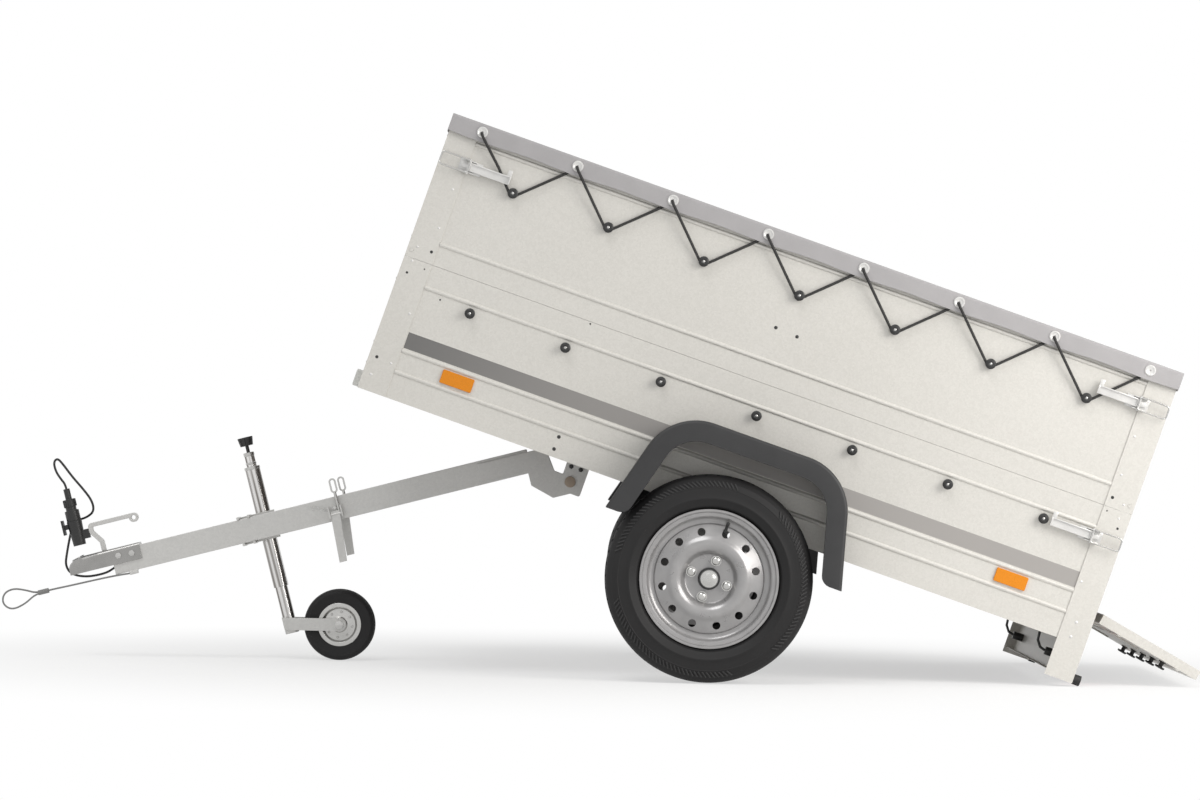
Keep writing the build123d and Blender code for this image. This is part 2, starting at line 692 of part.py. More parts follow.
# Cable from the beam's open end, round the coupling and over to the parked plug
cable_radius = 3.25
cable_points = [(-1280, 16, 82), (-1310, 24, 66), (-1346, 42, 62), (-1392, 48, 66), (-1428, 44, 84),
                (-1436, 40, 112), (-1424, 38, 142), (-1410, 38, 174), (-1396, 40, 204), (-1372, 40, 226),
                (-1342, 32, 228), (-1318, 18, 240), (-1316, 8, 270), (-1332, 2, 308), (-1352, 0, 346),
                (-1368, 0, 384), (-1380, 0, 408), (-1394, 0, 400), (-1394, 0, 372), (-1384, 0, 346),
                (plug_x, 0, 332), (plug_x, 0, plug_low)]


# A cord's tube: straight runs joined by arcs as large as the runs allow
def free_cord(points, radius, name):
    spots = [Vector(*p) for p in points]
    radii = []
    for before, corner, after in zip(spots, spots[1:], spots[2:]):
        turn = math.radians((corner - before).get_angle(after - corner))
        shorter = min((corner - before).length, (after - corner).length)
        radii.append(0.45 * shorter / math.tan(turn / 2))
    path = FilletPolyline(*points, radius=radii)
    tube = sweep(Plane(origin=path @ 0, z_dir=path % 0) * Circle(radius), path=path)
    print(name, "radii", [round(r, 1) for r in radii], "length", round(path.length, 1))
    print(name, "volume", round(tube.volume), "section by length", round(math.pi * radius**2 * path.length))
    return tube


bar["plug_cable"] = free_cord(cable_points, cable_radius, "plug_cable")

# Breakaway cable: a steel rope from an eye under the beam to a ferruled loop
rope_radius = 2.5
rope_z = beam_low - 5
rope_y = -beam_width / 2 - 4
rope_start = -1256
ferrule_x = -1502
ferrule_half = 15
ferrule_radius = 7
ferrule_z = rope_z + 8
rope_points = [(rope_start - fit, rope_y, rope_z), (-1290, rope_y + 2, rope_z + 3), (-1345, rope_y, rope_z + 5),
               (-1400, rope_y + 1, rope_z + 6), (-1442, rope_y, rope_z + 7), (-1470, rope_y, ferrule_z),
               (ferrule_x + ferrule_half + fit, rope_y, ferrule_z)]
# loop route: distance ahead of the ferrule's middle, sideways and upwards from it
loop_route = ((ferrule_half + fit, 3, 2.5), (26, 3, 3.5), (46, 3, 15), (80, 2, 29), (110, 0, 22), (120, -1, -6),
              (98, -2, -29), (58, -3, -21), (28, -3, -4), (ferrule_half + fit, -3, -2.5))
loop_points = [(ferrule_x - ahead, rope_y + aside, ferrule_z + up) for ahead, aside, up in loop_route]
bar["safety_cable"] = free_cord(rope_points, rope_radius, "safety_cable")
bar["safety_loop"] = free_cord(loop_points, rope_radius, "safety_loop")
ferrule_ends = (ferrule_x - ferrule_half, ferrule_x + ferrule_half)
bar["safety_ferrule"] = rod_x(rope_y, ferrule_z, ferrule_radius, *ferrule_ends)
beam_eye = block(rope_start, rope_start + 24, rope_y - 4, rope_y + 16, rope_z - 5, beam_low)
bar["drawbar_beam"] = beam + beam_eye

# Jockey wheel: a clamp on the right-hand face of the beam, outer tube, telescopic leg, fork and wheel
jockey_x = -jockey_ahead
beam_side = beam_width / 2
jockey_y = beam_side + 8 + jockey_tube_radius
grip_low = beam_low + 10
grip_high = beam_top - 10
clamp = block(jockey_x - 70, jockey_x + 34, beam_side + fit, beam_side + 6, beam_low - 6, beam_top + 6)
clamp += block(jockey_x - 16, jockey_x + 16, beam_side + fit, jockey_y, grip_low, grip_high)
clamp += rod_z(jockey_x, jockey_y, jockey_tube_radius + 5, grip_low, grip_high)
clamp -= rod_z(jockey_x, jockey_y, jockey_tube_radius + fit / 2, 0, beam_top + 20)
clamp_bolt = 4
for x in (jockey_x - 65, jockey_x - 35):
    for z in (beam_low - clamp_bolt, beam_top + clamp_bolt):
        clamp += rod_y(x, z, clamp_bolt, -beam_side - 4, beam_side + 12)
bar["jockey_clamp"] = clamp
neck_radius = 14
neck_top = jockey_tube_top + 42
outer = rod_z(jockey_x, jockey_y, jockey_tube_radius, jockey_tube_low, jockey_tube_top)
outer -= rod_z(jockey_x, jockey_y, jockey_inner_radius + fit, jockey_tube_low - 1, jockey_tube_top - 4)
outer += rod_z(jockey_x, jockey_y, neck_radius, jockey_tube_top, neck_top)
bar["jockey_tube"] = outer
grip_stem = 20
grip_height = 24
grip = rod_z(jockey_x, jockey_y, 5, neck_top, neck_top + grip_stem)
grip += Pos(jockey_x, jockey_y, neck_top + grip_stem + grip_height / 2) * Cone(18, 20.5, grip_height)
bar["jockey_grip"] = grip
leg_top = jockey_tube_low + 120
leg = rod_z(jockey_x, jockey_y, jockey_inner_radius, jockey_inner_low, leg_top)

# Bed catches: an over-centre loop catch on each face of the beam, the right-hand one set further back
catch_set_back = 18
catch_in = beam_side + 12
catch_out = beam_side + 24
cheek_thick = 5
cheek_x = 15
catch_half = cheek_x + cheek_thick + 1
left_drop = 65              # levers' lower ends below the pivot; the right one clears the raised jockey wheel
right_drop = 52
catch_right = -pivot_along - catch_half - 5     # clear of the front wall when the bed is down


def catch(drop):
    base = block(-catch_half, catch_half, beam_side, beam_side + 4, beam_low + 4, beam_top - 24)
    for low in (-cheek_x - cheek_thick, cheek_x):
        base += block(low, low + cheek_thick, beam_side + 4, catch_out, beam_low + 8, beam_top - 26)
    blade = outline((-14, beam_low + 28), (13, beam_low + 28), (-1, -drop), (-22, -drop))
    lever = plate(blade, catch_in, catch_in + 6)
    lever += rod_x(catch_in + 3, beam_low + 18, 4, -cheek_x + fit, cheek_x - fit)
    ring = SlotOverall(42, 20, rotation=90) - SlotOverall(32, 10, rotation=90)
    loop = Pos(11, 0, beam_top + 30) * plate(ring, catch_in, catch_in + 5)
    loop += rod_z(11, catch_in + 2.5, 4, beam_low + 28 + fit, beam_top + 12)
    return base, lever, loop


bar["bed_catches"] = []
bar["catch_loops"] = []
for side, along, drop in ((1, catch_right - catch_set_back, left_drop), (0, catch_right, right_drop)):
    base, lever, loop = [Pos(along, 0, 0) * both_sides(p)[side] for p in catch(drop)]
    bar["bed_catches"] += [base, lever]
    bar["catch_loops"].append(loop)

# The stance: the rear buffers, the jockey wheel and the tailgate's edge all touch the ground
buffer_a = bed_length + buffer_length - axle_along
buffer_b = axle_below - buffer_below - buffer_radius
buffer_turn = math.asin(tyre_radius / math.hypot(buffer_a, buffer_b))
bed_tilt = math.degrees(buffer_turn + math.atan2(buffer_b, buffer_a))
bed_at = Pos(0, 0, tyre_radius) * Rot(0, bed_tilt, 0) * Pos(-axle_along, 0, axle_below)
pivot = (bed_at * Pos(pivot_along, 0, -pivot_below)).position
wheel_a = jockey_ahead - jockey_trail
wheel_b = -jockey_axle_height
wheel_turn = math.asin((pivot.Z - jockey_radius) / math.hypot(wheel_a, wheel_b))
bar_pitch = math.degrees(wheel_turn - math.atan2(wheel_b, wheel_a))
bar_at = Pos(pivot.X, pivot.Y, pivot.Z) * Rot(0, -bar_pitch, 0)
hinge = (bed_at * Pos(hinge_x, 0, hinge_z)).position
edge_reach = seam - tailgate_top_gap - hinge_z
edge_angle = math.degrees(math.atan2(tailgate_hinge_out, edge_reach))
gate_drop = math.degrees(math.asin((hinge.Z - 0.5) / math.hypot(edge_reach, tailgate_hinge_out)))
gate_open = 90 - bed_tilt + gate_drop - edge_angle
gate_at = Pos(hinge.X, 0, hinge.Z) * Rot(0, bed_tilt + gate_open, 0) * Pos(-hinge_x, 0, -hinge_z)

# Fork and wheel of the jockey, level on the ground below the pitched leg
axle_x = jockey_x + jockey_trail
fork_low = jockey_inner_low - fit - 32
fork = rod_z(jockey_x, jockey_y, jockey_inner_radius + 2, fork_low, jockey_inner_low - fit)
# side strips run level from the swivel to the axle
strip_half = 18
strip_slope = math.tan(math.radians(bar_pitch))
strip_front = jockey_x - 17
strip_rise = (axle_x - strip_front) * strip_slope
strip = outline((strip_front, jockey_axle_height + strip_rise - strip_half),
                (strip_front, jockey_axle_height + strip_rise + strip_half),
                (axle_x, jockey_axle_height + strip_half), (axle_x, jockey_axle_height - strip_half))
strip += Pos(axle_x, jockey_axle_height) * Circle(strip_half)
fork_in = jockey_width / 2 + 4
strip_sheet = 5
stub_half = 12
for side in (-1, 1):
    near = jockey_y + side * fork_in
    far = jockey_y + side * (fork_in + strip_sheet)
    fork += plate(strip, min(near, far), max(near, far))
    stub_ends = sorted((jockey_y, jockey_y + side * (fork_in + 2)))
    fork += block(jockey_x - stub_half, jockey_x + stub_half, *stub_ends, fork_low + 2, fork_low + 28)
axle_end = fork_in + 12
fork += rod_y(axle_x, jockey_axle_height, 6, jockey_y - axle_end, jockey_y + axle_end)
half_wheel = jockey_width / 2
jockey_bead = 61
jockey_tyre = turned((jockey_bead + fit, -19), (88, -half_wheel), (97, -half_wheel + 6),
                     (jockey_radius, -half_wheel + 14), (jockey_radius, half_wheel - 14), (97, half_wheel - 6),
                     (88, half_wheel), (jockey_bead + fit, 19))
jockey_rim = turned((6 + fit, -half_wheel), (20, -half_wheel), (22, -16), (44, -14), (50, -20),
                    (jockey_bead, -20), (jockey_bead, 20), (50, 20), (44, 14), (22, 16), (20, half_wheel),
                    (6 + fit, half_wheel))
at_jockey = Pos(axle_x, jockey_y, jockey_axle_height)

# Everything in place; wheels and hubs on both sides
def listed(piece):
    return piece if isinstance(piece, list) else [piece]


nodes = {}
for name, piece in bed.items():
    nodes[name] = [bed_at * p for p in listed(piece)]
for name, piece in bar.items():
    nodes[name] = [bar_at * p for p in listed(piece)]
nodes["front_board"] = [bed_at * front_board]
nodes["rear_board"] = [bed_at * rear_board]
nodes["tailgate"] = [gate_at * tailgate]
nodes["tailgate_knobs"] = [gate_at * k for k in gate_knobs]
nodes["jockey_leg"] = [bar_at * leg]
nodes["jockey_fork"] = [bar_at * fork]
nodes["jockey_tyre"] = [bar_at * at_jockey * jockey_tyre]
nodes["jockey_rim"] = [bar_at * at_jockey * jockey_rim]
at_wheel_right = Pos(0, wheel_track / 2, tyre_radius)
for name, piece in (("wheel_tyre", tyre), ("wheel_rim", rim), ("wheel_hub", hub)):
    right, left = both_sides(at_wheel_right * piece)
    nodes[name + "_right"] = [right]
    nodes[name + "_left"] = [left]

# The origin is on the ground, in the middle of the trailer without its loose cable and rope
loose = ("plug_cable", "plug", "safety_cable", "safety_loop", "safety_ferrule")
firm = [solid for name, pieces in nodes.items() if name not in loose for p in pieces for solid in p.solids()]
footprint = Compound(firm).bounding_box()
middle = (footprint.min.X + footprint.max.X) / 2
to_origin = Pos(-middle, 0, 0)
os.makedirs("parts", exist_ok=True)
for name, pieces in nodes.items():
    solids = [to_origin * solid for p in pieces for solid in p.solids()]
    export_step(Compound(solids), f"parts/{name}.step")
print("tilt", round(bed_tilt, 3), "pitch", round(bar_pitch, 3))
print("gate", round(gate_open, 3), "middle", round(middle, 2))
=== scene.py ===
import bmesh
import bpy
import json
import math
from mathutils import Matrix, Vector


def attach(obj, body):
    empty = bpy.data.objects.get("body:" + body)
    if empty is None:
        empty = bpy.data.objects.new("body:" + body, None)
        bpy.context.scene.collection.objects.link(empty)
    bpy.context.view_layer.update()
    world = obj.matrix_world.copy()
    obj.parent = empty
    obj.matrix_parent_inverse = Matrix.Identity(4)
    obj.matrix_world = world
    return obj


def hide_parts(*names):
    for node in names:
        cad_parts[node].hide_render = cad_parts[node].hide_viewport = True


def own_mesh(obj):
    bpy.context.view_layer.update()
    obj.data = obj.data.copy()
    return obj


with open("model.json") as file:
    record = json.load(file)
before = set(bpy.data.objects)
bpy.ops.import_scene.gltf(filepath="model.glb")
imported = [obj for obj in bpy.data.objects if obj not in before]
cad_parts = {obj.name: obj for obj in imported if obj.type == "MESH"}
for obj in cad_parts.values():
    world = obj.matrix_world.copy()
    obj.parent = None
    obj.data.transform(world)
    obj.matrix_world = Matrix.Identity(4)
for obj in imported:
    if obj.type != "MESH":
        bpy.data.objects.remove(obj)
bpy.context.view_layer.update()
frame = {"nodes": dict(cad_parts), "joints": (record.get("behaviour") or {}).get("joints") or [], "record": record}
nodes = frame["nodes"]
joints = {joint["name"]: joint for joint in frame["joints"]}
scene = bpy.context.scene
print("frame loaded,", len(nodes), "nodes")


def moved(x, y, z):
    return Matrix.Translation((x, y, z))


def turned(degrees, axis):
    return Matrix.Rotation(math.radians(degrees), 4, axis)


# The bed's own frame: u back from its front face, y to the right, w up from the sills' underside
bed = {"length": 2.05, "pinFromFace": 0.013, "pinHeight": 0.392, "postFace": 0.575, "wallFace": 0.572}
frontPin = Vector(joints["front_board_hinge"]["pos_m"])
rearPin = Vector(joints["rear_board_hinge"]["pos_m"])
alongBed = (rearPin - frontPin).normalized()
upBed = Vector((-alongBed.z, 0, alongBed.x))
bedOrigin = frontPin - alongBed * bed["pinFromFace"] - upBed * bed["pinHeight"]
bedTilt = math.atan2(-alongBed.z, alongBed.x)
bedFrame = Matrix.Translation(bedOrigin) @ Matrix.Rotation(bedTilt, 4, "Y")

# The drawbar's own frame starts at the tipping pivot, and a wheel's has its outer face along +y
upBar = Vector(joints["jockey_slide"]["axis"])
barPitch = math.atan2(-upBar.x, upBar.z)
barTurn = Matrix.Rotation(-barPitch, 4, "Y")
barFrame = Matrix.Translation(joints["bed_tilt"]["pos_m"]) @ barTurn
jockeyFrame = Matrix.Translation(joints["jockey_wheel_spin"]["pos_m"]) @ barTurn
wheelFrames = {}
for side in ("left", "right"):
    hub = Matrix.Translation(joints["wheel_" + side + "_spin"]["pos_m"])
    wheelFrames[side] = hub @ turned(180 if side == "left" else 0, "Z")


# Working habits: what every piece goes through
def leaveEdit():
    bpy.ops.object.mode_set(mode="OBJECT")


def applyPlace():
    bpy.ops.object.transform_apply(location=True, rotation=True, scale=True)


def pickAll():
    bpy.ops.mesh.select_all(action="SELECT")


def pickNone():
    bpy.ops.mesh.select_all(action="DESELECT")


def smooth(degrees):
    bpy.ops.object.shade_smooth_by_angle(angle=math.radians(degrees))


def extrudeBy(step):
    bpy.ops.mesh.extrude_region_move(TRANSFORM_OT_translate={"value": step})


def fatten(depth):
    bpy.ops.mesh.extrude_region_shrink_fatten(TRANSFORM_OT_shrink_fatten={"value": depth})


def bevelPicked(width, segments):
    bpy.ops.mesh.bevel(offset=width, segments=segments, affect="EDGES")


def deselectAll():
    if bpy.context.mode != "OBJECT":
        leaveEdit()
    bpy.ops.object.select_all(action="DESELECT")


def work(piece):
    deselectAll()
    piece.select_set(True)
    bpy.context.view_layer.objects.active = piece


def edit(piece):
    work(piece)
    bpy.ops.object.mode_set(mode="EDIT")
    pickNone()


def faceOutwards(piece):
    edit(piece)
    pickAll()
    bpy.ops.mesh.normals_make_consistent(inside=False)
    leaveEdit()
    return piece


def pick(piece, kind, wanted):
    # the faces or edges for which wanted is true
    bpy.ops.mesh.select_mode(type=kind)
    pickNone()
    mesh = bmesh.from_edit_mesh(piece.data)
    for item in mesh.faces if kind == "FACE" else mesh.edges:
        item.select_set(bool(wanted(item)))
    bmesh.update_edit_mesh(piece.data)


def modify(piece, name, kind, **settings):
    modifier = piece.modifiers.new(name, kind)
    for setting, value in settings.items():
        setattr(modifier, setting, value)


def lathe(name, profile, steps, smoothAngle=35):
    # one vertex, extruded along the profile of (radius, along y) and turned about y
    points = [Vector((radius, along, 0)) for radius, along in profile]
    deselectAll()
    bpy.ops.mesh.primitive_plane_add(size=0.001, location=points[0])
    piece = bpy.context.object
    piece.name = name
    applyPlace()
    bpy.ops.object.mode_set(mode="EDIT")
    bpy.ops.mesh.select_mode(type="VERT")
    pickAll()
    bpy.ops.mesh.merge(type="CENTER")
    for here, there in zip(points, points[1:]):
        extrudeBy(there - here)
    pickAll()
    bpy.ops.mesh.spin(steps=steps, angle=2 * math.pi, center=(0, 0, 0), axis=(0, 1, 0))
    pickAll()
    bpy.ops.mesh.remove_doubles(threshold=0.00001)
    bpy.ops.mesh.normals_make_consistent(inside=False)
    leaveEdit()
    smooth(smoothAngle)
    return piece


def slab(name, low, high, bevel, segments=2):
    deselectAll()
    middle = (Vector(low) + Vector(high)) / 2
    bpy.ops.mesh.primitive_cube_add(size=1, location=middle, scale=Vector(high) - Vector(low))
    piece = bpy.context.object
    piece.name = name
    applyPlace()
    bpy.ops.object.mode_set(mode="EDIT")
    pickAll()
    bevelPicked(bevel, segments)
    leaveEdit()
    smooth(35)
    return piece


def roundCurve(name, runs, diameter, resolution, kind="POLY", closed=False):
    # round cord or wire along each run of points
    line = bpy.data.curves.new(name, "CURVE")
    line.dimensions = "3D"
    line.bevel_depth = diameter / 2
    line.bevel_resolution = resolution
    line.use_fill_caps = True
    for points in runs:
        spline = line.splines.new(kind)
        spline.points.add(len(points) - 1)
        for spot, point in zip(spline.points, points):
            spot.co = (*point, 1)
        spline.use_cyclic_u = closed
        if kind == "NURBS":
            spline.order_u = 3
            spline.use_endpoint_u = True
            spline.resolution_u = 10
    piece = bpy.data.objects.new(name, line)
    scene.collection.objects.link(piece)
    return piece


def wire(name, points, diameter, closed=False):
    work(roundCurve(name, [points], diameter, 3, closed=closed))
    bpy.ops.object.convert(target="MESH")
    bpy.ops.object.shade_smooth()
    return bpy.context.object


def joinUp(pieces):
    deselectAll()
    for piece in pieces:
        piece.select_set(True)
    bpy.context.view_layer.objects.active = pieces[0]
    applyPlace()
    if len(pieces) > 1:
        bpy.ops.object.join()
    return bpy.context.object


def copies(piece, places):
    # the piece repeated at each matrix, as one joined mesh
    made = []
    for place in places:
        twin = piece.copy()
        twin.data = piece.data.copy()
        scene.collection.objects.link(twin)
        twin.matrix_world = place
        made.append(twin)
    name = piece.name
    bpy.data.objects.remove(piece)
    joined = joinUp(made)
    joined.name = name
    return joined


def dress(piece, body, slotName, finish=None, stoodFor=()):
    # painted, and riding on its body
    piece.data.materials.clear()
    piece.data.materials.append(finish or finishes[slotName])
    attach(piece, body)
    if stoodFor:
        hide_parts(*stoodFor)


def settle(piece, place, body, slotName, finish=None, stoodFor=()):
    # out of its own frame into the world's, then dressed
    work(piece)
    piece.matrix_world = place @ piece.matrix_world
    applyPlace()
    dress(piece, body, slotName, finish, stoodFor)


def onBed(piece, slotName, finish=None, stoodFor=()):
    settle(piece, bedFrame, "bed", slotName, finish, stoodFor)


def onBar(piece, slotName, finish=None, stoodFor=()):
    settle(piece, barFrame, "drawbar", slotName, finish, stoodFor)


def hexHead(name, radius, height, dome):
    head = lathe(name, [(0, 0), (radius, 0), (radius, height), (0, height)], 6, 20)
    cap = lathe(name + "Cap", [(0, height + dome), (radius * 0.45, height + dome * 0.85),
                               (radius * 0.8, height + 0.1 * dome), (0, height)], 16)
    return joinUp([head, cap])


def onSides(along, up, out):
    # places on both outer sides, y pointing away
    return [moved(along, out, up), moved(along, -out, up) @ turned(180, "Z")]


# Finishes
def newFinish(name, colour, roughness, metallic=0.0):
    finish = bpy.data.materials.new(name)
    finish.use_nodes = True
    tree = finish.node_tree
    shader = tree.nodes["Principled BSDF"]
    shader.inputs["Base Color"].default_value = (*colour, 1)
    shader.inputs["Roughness"].default_value = roughness
    shader.inputs["Metallic"].default_value = metallic
    finish.diffuse_color = (*colour, 1)
    return finish, tree, shader


def feed(tree, value, socket):
    # a plain value, or a link from another node
    if isinstance(value, bpy.types.NodeSocket):
        tree.links.new(value, socket)
    else:
        socket.default_value = value


def addNode(tree, kind, inputs):
    node = tree.nodes.new("ShaderNode" + kind)
    for name, value in inputs.items():
        feed(tree, value, node.inputs[name])
    return node


def objectPlace(tree, location=(0, 0, 0), rotation=(0, 0, 0), scale=(1, 1, 1)):
    # Object coordinates, seen from a frame that is moved and turned
    coords = tree.nodes.new("ShaderNodeTexCoord")
    mapping = addNode(tree, "Mapping", {"Vector": coords.outputs["Object"], "Location": location,
                                        "Rotation": rotation, "Scale": scale})
    mapping.vector_type = "TEXTURE"
    return mapping.outputs["Vector"]


def bedPlace(tree, scale=(1, 1, 1)):
    return objectPlace(tree, bedOrigin, (0, bedTilt, 0), scale)


def bedAxes(tree, place):
    return addNode(tree, "SeparateXYZ", {"Vector": place}).outputs


def noise(tree, place, scale, detail):
    values = {"Vector": place, "Scale": scale, "Detail": detail, "Roughness": 0.55}
    return addNode(tree, "TexNoise", values).outputs["Fac"]


def cells(tree, place, scale):
    field = addNode(tree, "TexVoronoi", {"Vector": place, "Scale": scale})
    return addNode(tree, "SeparateColor", {"Color": field.outputs["Color"]}).outputs["Red"]


def ramp(tree, value, low, high, start=0.3, end=0.7):
    node = addNode(tree, "ValToRGB", {"Fac": value})
    first, last = node.color_ramp.elements
    first.position = start
    last.position = end
    first.color = (*low, 1)
    last.color = (*high, 1)
    return node.outputs["Color"]


def spread(tree, value, low, high):
    # value from 0..1 to low..high
    return addNode(tree, "MapRange", {"Value": value, "To Min": low, "To Max": high}).outputs["Result"]


def maths(tree, operation, first, second=0.0):
    node = addNode(tree, "Math", {0: first, 1: second})
    node.operation = operation
    return node.outputs[0]


def weighted(tree, *parts):
    # sum of (value, weight) pairs
    total = None
    for value, weight in parts:
        part = maths(tree, "MULTIPLY", value, weight)
        total = part if total is None else maths(tree, "ADD", total, part)
    return total


def tinted(colour, share):
    return tuple(share * c for c in colour)


def colourBy(tree, shader, value, low, high, start=0.3, end=0.7):
    tree.links.new(ramp(tree, value, low, high, start, end), shader.inputs["Base Color"])


def roughBy(tree, shader, value, low, high):
    tree.links.new(spread(tree, value, low, high), shader.inputs["Roughness"])


def bump(tree, shader, height, strength, distance):
    node = addNode(tree, "Bump", {"Height": height, "Strength": strength, "Distance": distance})
    tree.links.new(node.outputs["Normal"], shader.inputs["Normal"])


zincLook = {"dark": (0.60, 0.585, 0.545), "light": (0.70, 0.685, 0.645), "spangle": 210, "cloud": 1.6,
            "rough": (0.36, 0.44), "metallic": 0.2}
frameLook = {"dark": (0.56, 0.555, 0.54), "light": (0.66, 0.655, 0.635), "spangle": 180, "cloud": 2.2,
             "rough": (0.36, 0.44), "metallic": 0.3}
# the stripe's colour runs from painted shade at the front to painted light at the rear
stripeLook = {"low": 0.140, "high": 0.184, "front": 0.080, "rear": 1.972, "face": 0.5712,
              "frontShadedColour": (0.165, 0.162, 0.157), "rearLitColour": (0.37, 0.353, 0.337)}


def zincFinish(name, look):
    finish, tree, shader = newFinish(name, look["light"], look["rough"][1], look["metallic"])
    place = objectPlace(tree)
    spangle = cells(tree, place, look["spangle"])
    cloud = noise(tree, place, look["cloud"], 2)
    speck = noise(tree, place, 480, 2)
    tone = weighted(tree, (spangle, 0.22), (cloud, 0.33), (speck, 0.45))
    colour = ramp(tree, tone, look["dark"], look["light"], 0.25, 0.75)
    tree.links.new(colour, shader.inputs["Base Color"])
    roughBy(tree, shader, spangle, *look["rough"])
    bump(tree, shader, tone, 0.05, 0.0003)
    return finish, tree, shader, colour


def stripedWall():
    # the long band on the outside of the lower walls, darker at the front and lighter at the rear as painted shade
    # and painted light
    finish, tree, shader, colour = zincFinish("wallSheetWithStripe", zincLook)
    along, across, up = bedAxes(tree, bedPlace(tree))
    inside = maths(tree, "GREATER_THAN", maths(tree, "ABSOLUTE", across), stripeLook["face"])
    for value, edge, test in ((up, "low", "GREATER_THAN"), (up, "high", "LESS_THAN"),
                              (along, "front", "GREATER_THAN"), (along, "rear", "LESS_THAN")):
        inside = maths(tree, "MULTIPLY", inside, maths(tree, test, value, stripeLook[edge]))
    # painted shade and painted light: the stripe darkens towards the front and lightens towards the rear
    shadedToLitBand = ramp(tree, along, stripeLook["frontShadedColour"], stripeLook["rearLitColour"], 0.1, 1.0)
    mix = tree.nodes.new("ShaderNodeMix")
    mix.data_type = "RGBA"
    for socket, value in (("Factor", inside), (6, colour), (7, shadedToLitBand)):
        tree.links.new(value, mix.inputs[socket])
    tree.links.new(mix.outputs[2], shader.inputs["Base Color"])
    return finish


def brightFinish(name, colour, roughness):
    finish, tree, shader = newFinish(name, colour, roughness, 0.9)
    wear = noise(tree, objectPlace(tree), 40, 3)
    colourBy(tree, shader, wear, tinted(colour, 0.9), colour)
    roughBy(tree, shader, wear, roughness * 0.85, roughness * 1.2)
    return finish


def tubePaintedReflections():
    # painted reflections: dark and light streaks that run along the jockey wheel's tubes
    finish, tree, shader = newFinish("tubePaintedReflections", (0.66, 0.65, 0.63), 0.2, 0.9)
    place = objectPlace(tree, barFrame.translation, (0, -barPitch, 0), (1, 1, 60))
    paintedReflection = noise(tree, place, 75, 2)
    # painted reflection: the streaks' dark and light colours
    colourBy(tree, shader, paintedReflection, (0.20, 0.185, 0.17), (0.74, 0.73, 0.72), 0.38, 0.6)
    roughBy(tree, shader, paintedReflection, 0.14, 0.26)
    return finish


def mouldedFinish(name, colour, roughness, grain, depth):
    finish, tree, shader = newFinish(name, colour, roughness)
    place = objectPlace(tree)
    mottle = noise(tree, place, 9, 4)
    colourBy(tree, shader, mottle, tinted(colour, 0.78), tinted(colour, 1.15))
    skin = noise(tree, place, grain, 2)
    roughBy(tree, shader, skin, roughness * 0.85, roughness * 1.2)
    bump(tree, shader, skin, 0.25, depth)
    return finish


def clothFinish(name, colour):
    finish, tree, shader = newFinish(name, colour, 0.72)
    shader.inputs["Sheen Weight"].default_value = 0.15
    place = bedPlace(tree)
    along, across, up = bedAxes(tree, place)
    thread = 2 * math.pi / 0.0016
    warp = maths(tree, "SINE", maths(tree, "MULTIPLY", along, thread))
    crosswise = maths(tree, "ADD", across, up)
    weft = maths(tree, "SINE", maths(tree, "MULTIPLY", crosswise, thread))
    fade = noise(tree, place, 14, 5)
    speck = noise(tree, place, 900, 1)
    tone = weighted(tree, (fade, 0.6), (speck, 0.4))
    colourBy(tree, shader, tone, tinted(colour, 0.93), tinted(colour, 1.06))
    bump(tree, shader, maths(tree, "MULTIPLY", warp, weft), 0.18, 0.0004)
    return finish


def braidFinish(name, colour, pitch):
    # slanted strands that follow the object's own places, with painted shade in the grooves between them
    finish, tree, shader = newFinish(name, colour, 0.6)
    wave = addNode(tree, "TexWave", {"Vector": objectPlace(tree), "Scale": 1 / pitch,
                                     "Distortion": 0.6})
    # painted shade: the grooves, the wave's low parts, are coloured darker
    colourBy(tree, shader, wave.outputs["Fac"], tinted(colour, 0.6), colour)
    bump(tree, shader, wave.outputs["Fac"], 0.35, 0.0004)
    return finish


def plyFinish():
    finish, tree, shader = newFinish("filmFacedPly", (0.10, 0.062, 0.04), 0.4)
    grain = noise(tree, bedPlace(tree, (1.0, 0.12, 1.0)), 30, 6)
    colourBy(tree, shader, grain, (0.07, 0.042, 0.026), (0.14, 0.09, 0.06))
    roughBy(tree, shader, grain, 0.32, 0.5)
    bump(tree, shader, grain, 0.12, 0.0005)
    return finish


def lensFinish(name, colour, prisms):
    finish, tree, shader = newFinish(name, colour, 0.22)
    shader.inputs["Specular IOR Level"].default_value = 0.25
    spots = cells(tree, bedPlace(tree), prisms)
    colourBy(tree, shader, spots, tinted(colour, 0.88), colour, 0.1, 0.6)
    bump(tree, shader, spots, 0.1, 0.0003)
    return finish


def rubberFinish(name, colour, dust):
    finish, tree, shader = newFinish(name, colour, 0.6)
    shader.inputs["Specular IOR Level"].default_value = 0.35
    place = objectPlace(tree)
    film = noise(tree, place, 11, 5)
    colourBy(tree, shader, film, colour, dust, 0.35, 0.85)
    roughBy(tree, shader, film, 0.48, 0.75)
    bump(tree, shader, noise(tree, place, 300, 3), 0.15, 0.0005)
    return finish


def paintFinish(name, colour, roughness):
    finish, tree, shader = newFinish(name, colour, roughness, 0.35)
    shader.inputs["Coat Weight"].default_value = 0.25
    place = objectPlace(tree)
    film = noise(tree, place, 24, 4)
    flake = noise(tree, place, 1500, 1)
    tone = weighted(tree, (film, 0.7), (flake, 0.3))
    colourBy(tree, shader, tone, tinted(colour, 0.86), tinted(colour, 1.08))
    roughBy(tree, shader, film, roughness * 0.85, roughness * 1.2)
    return finish


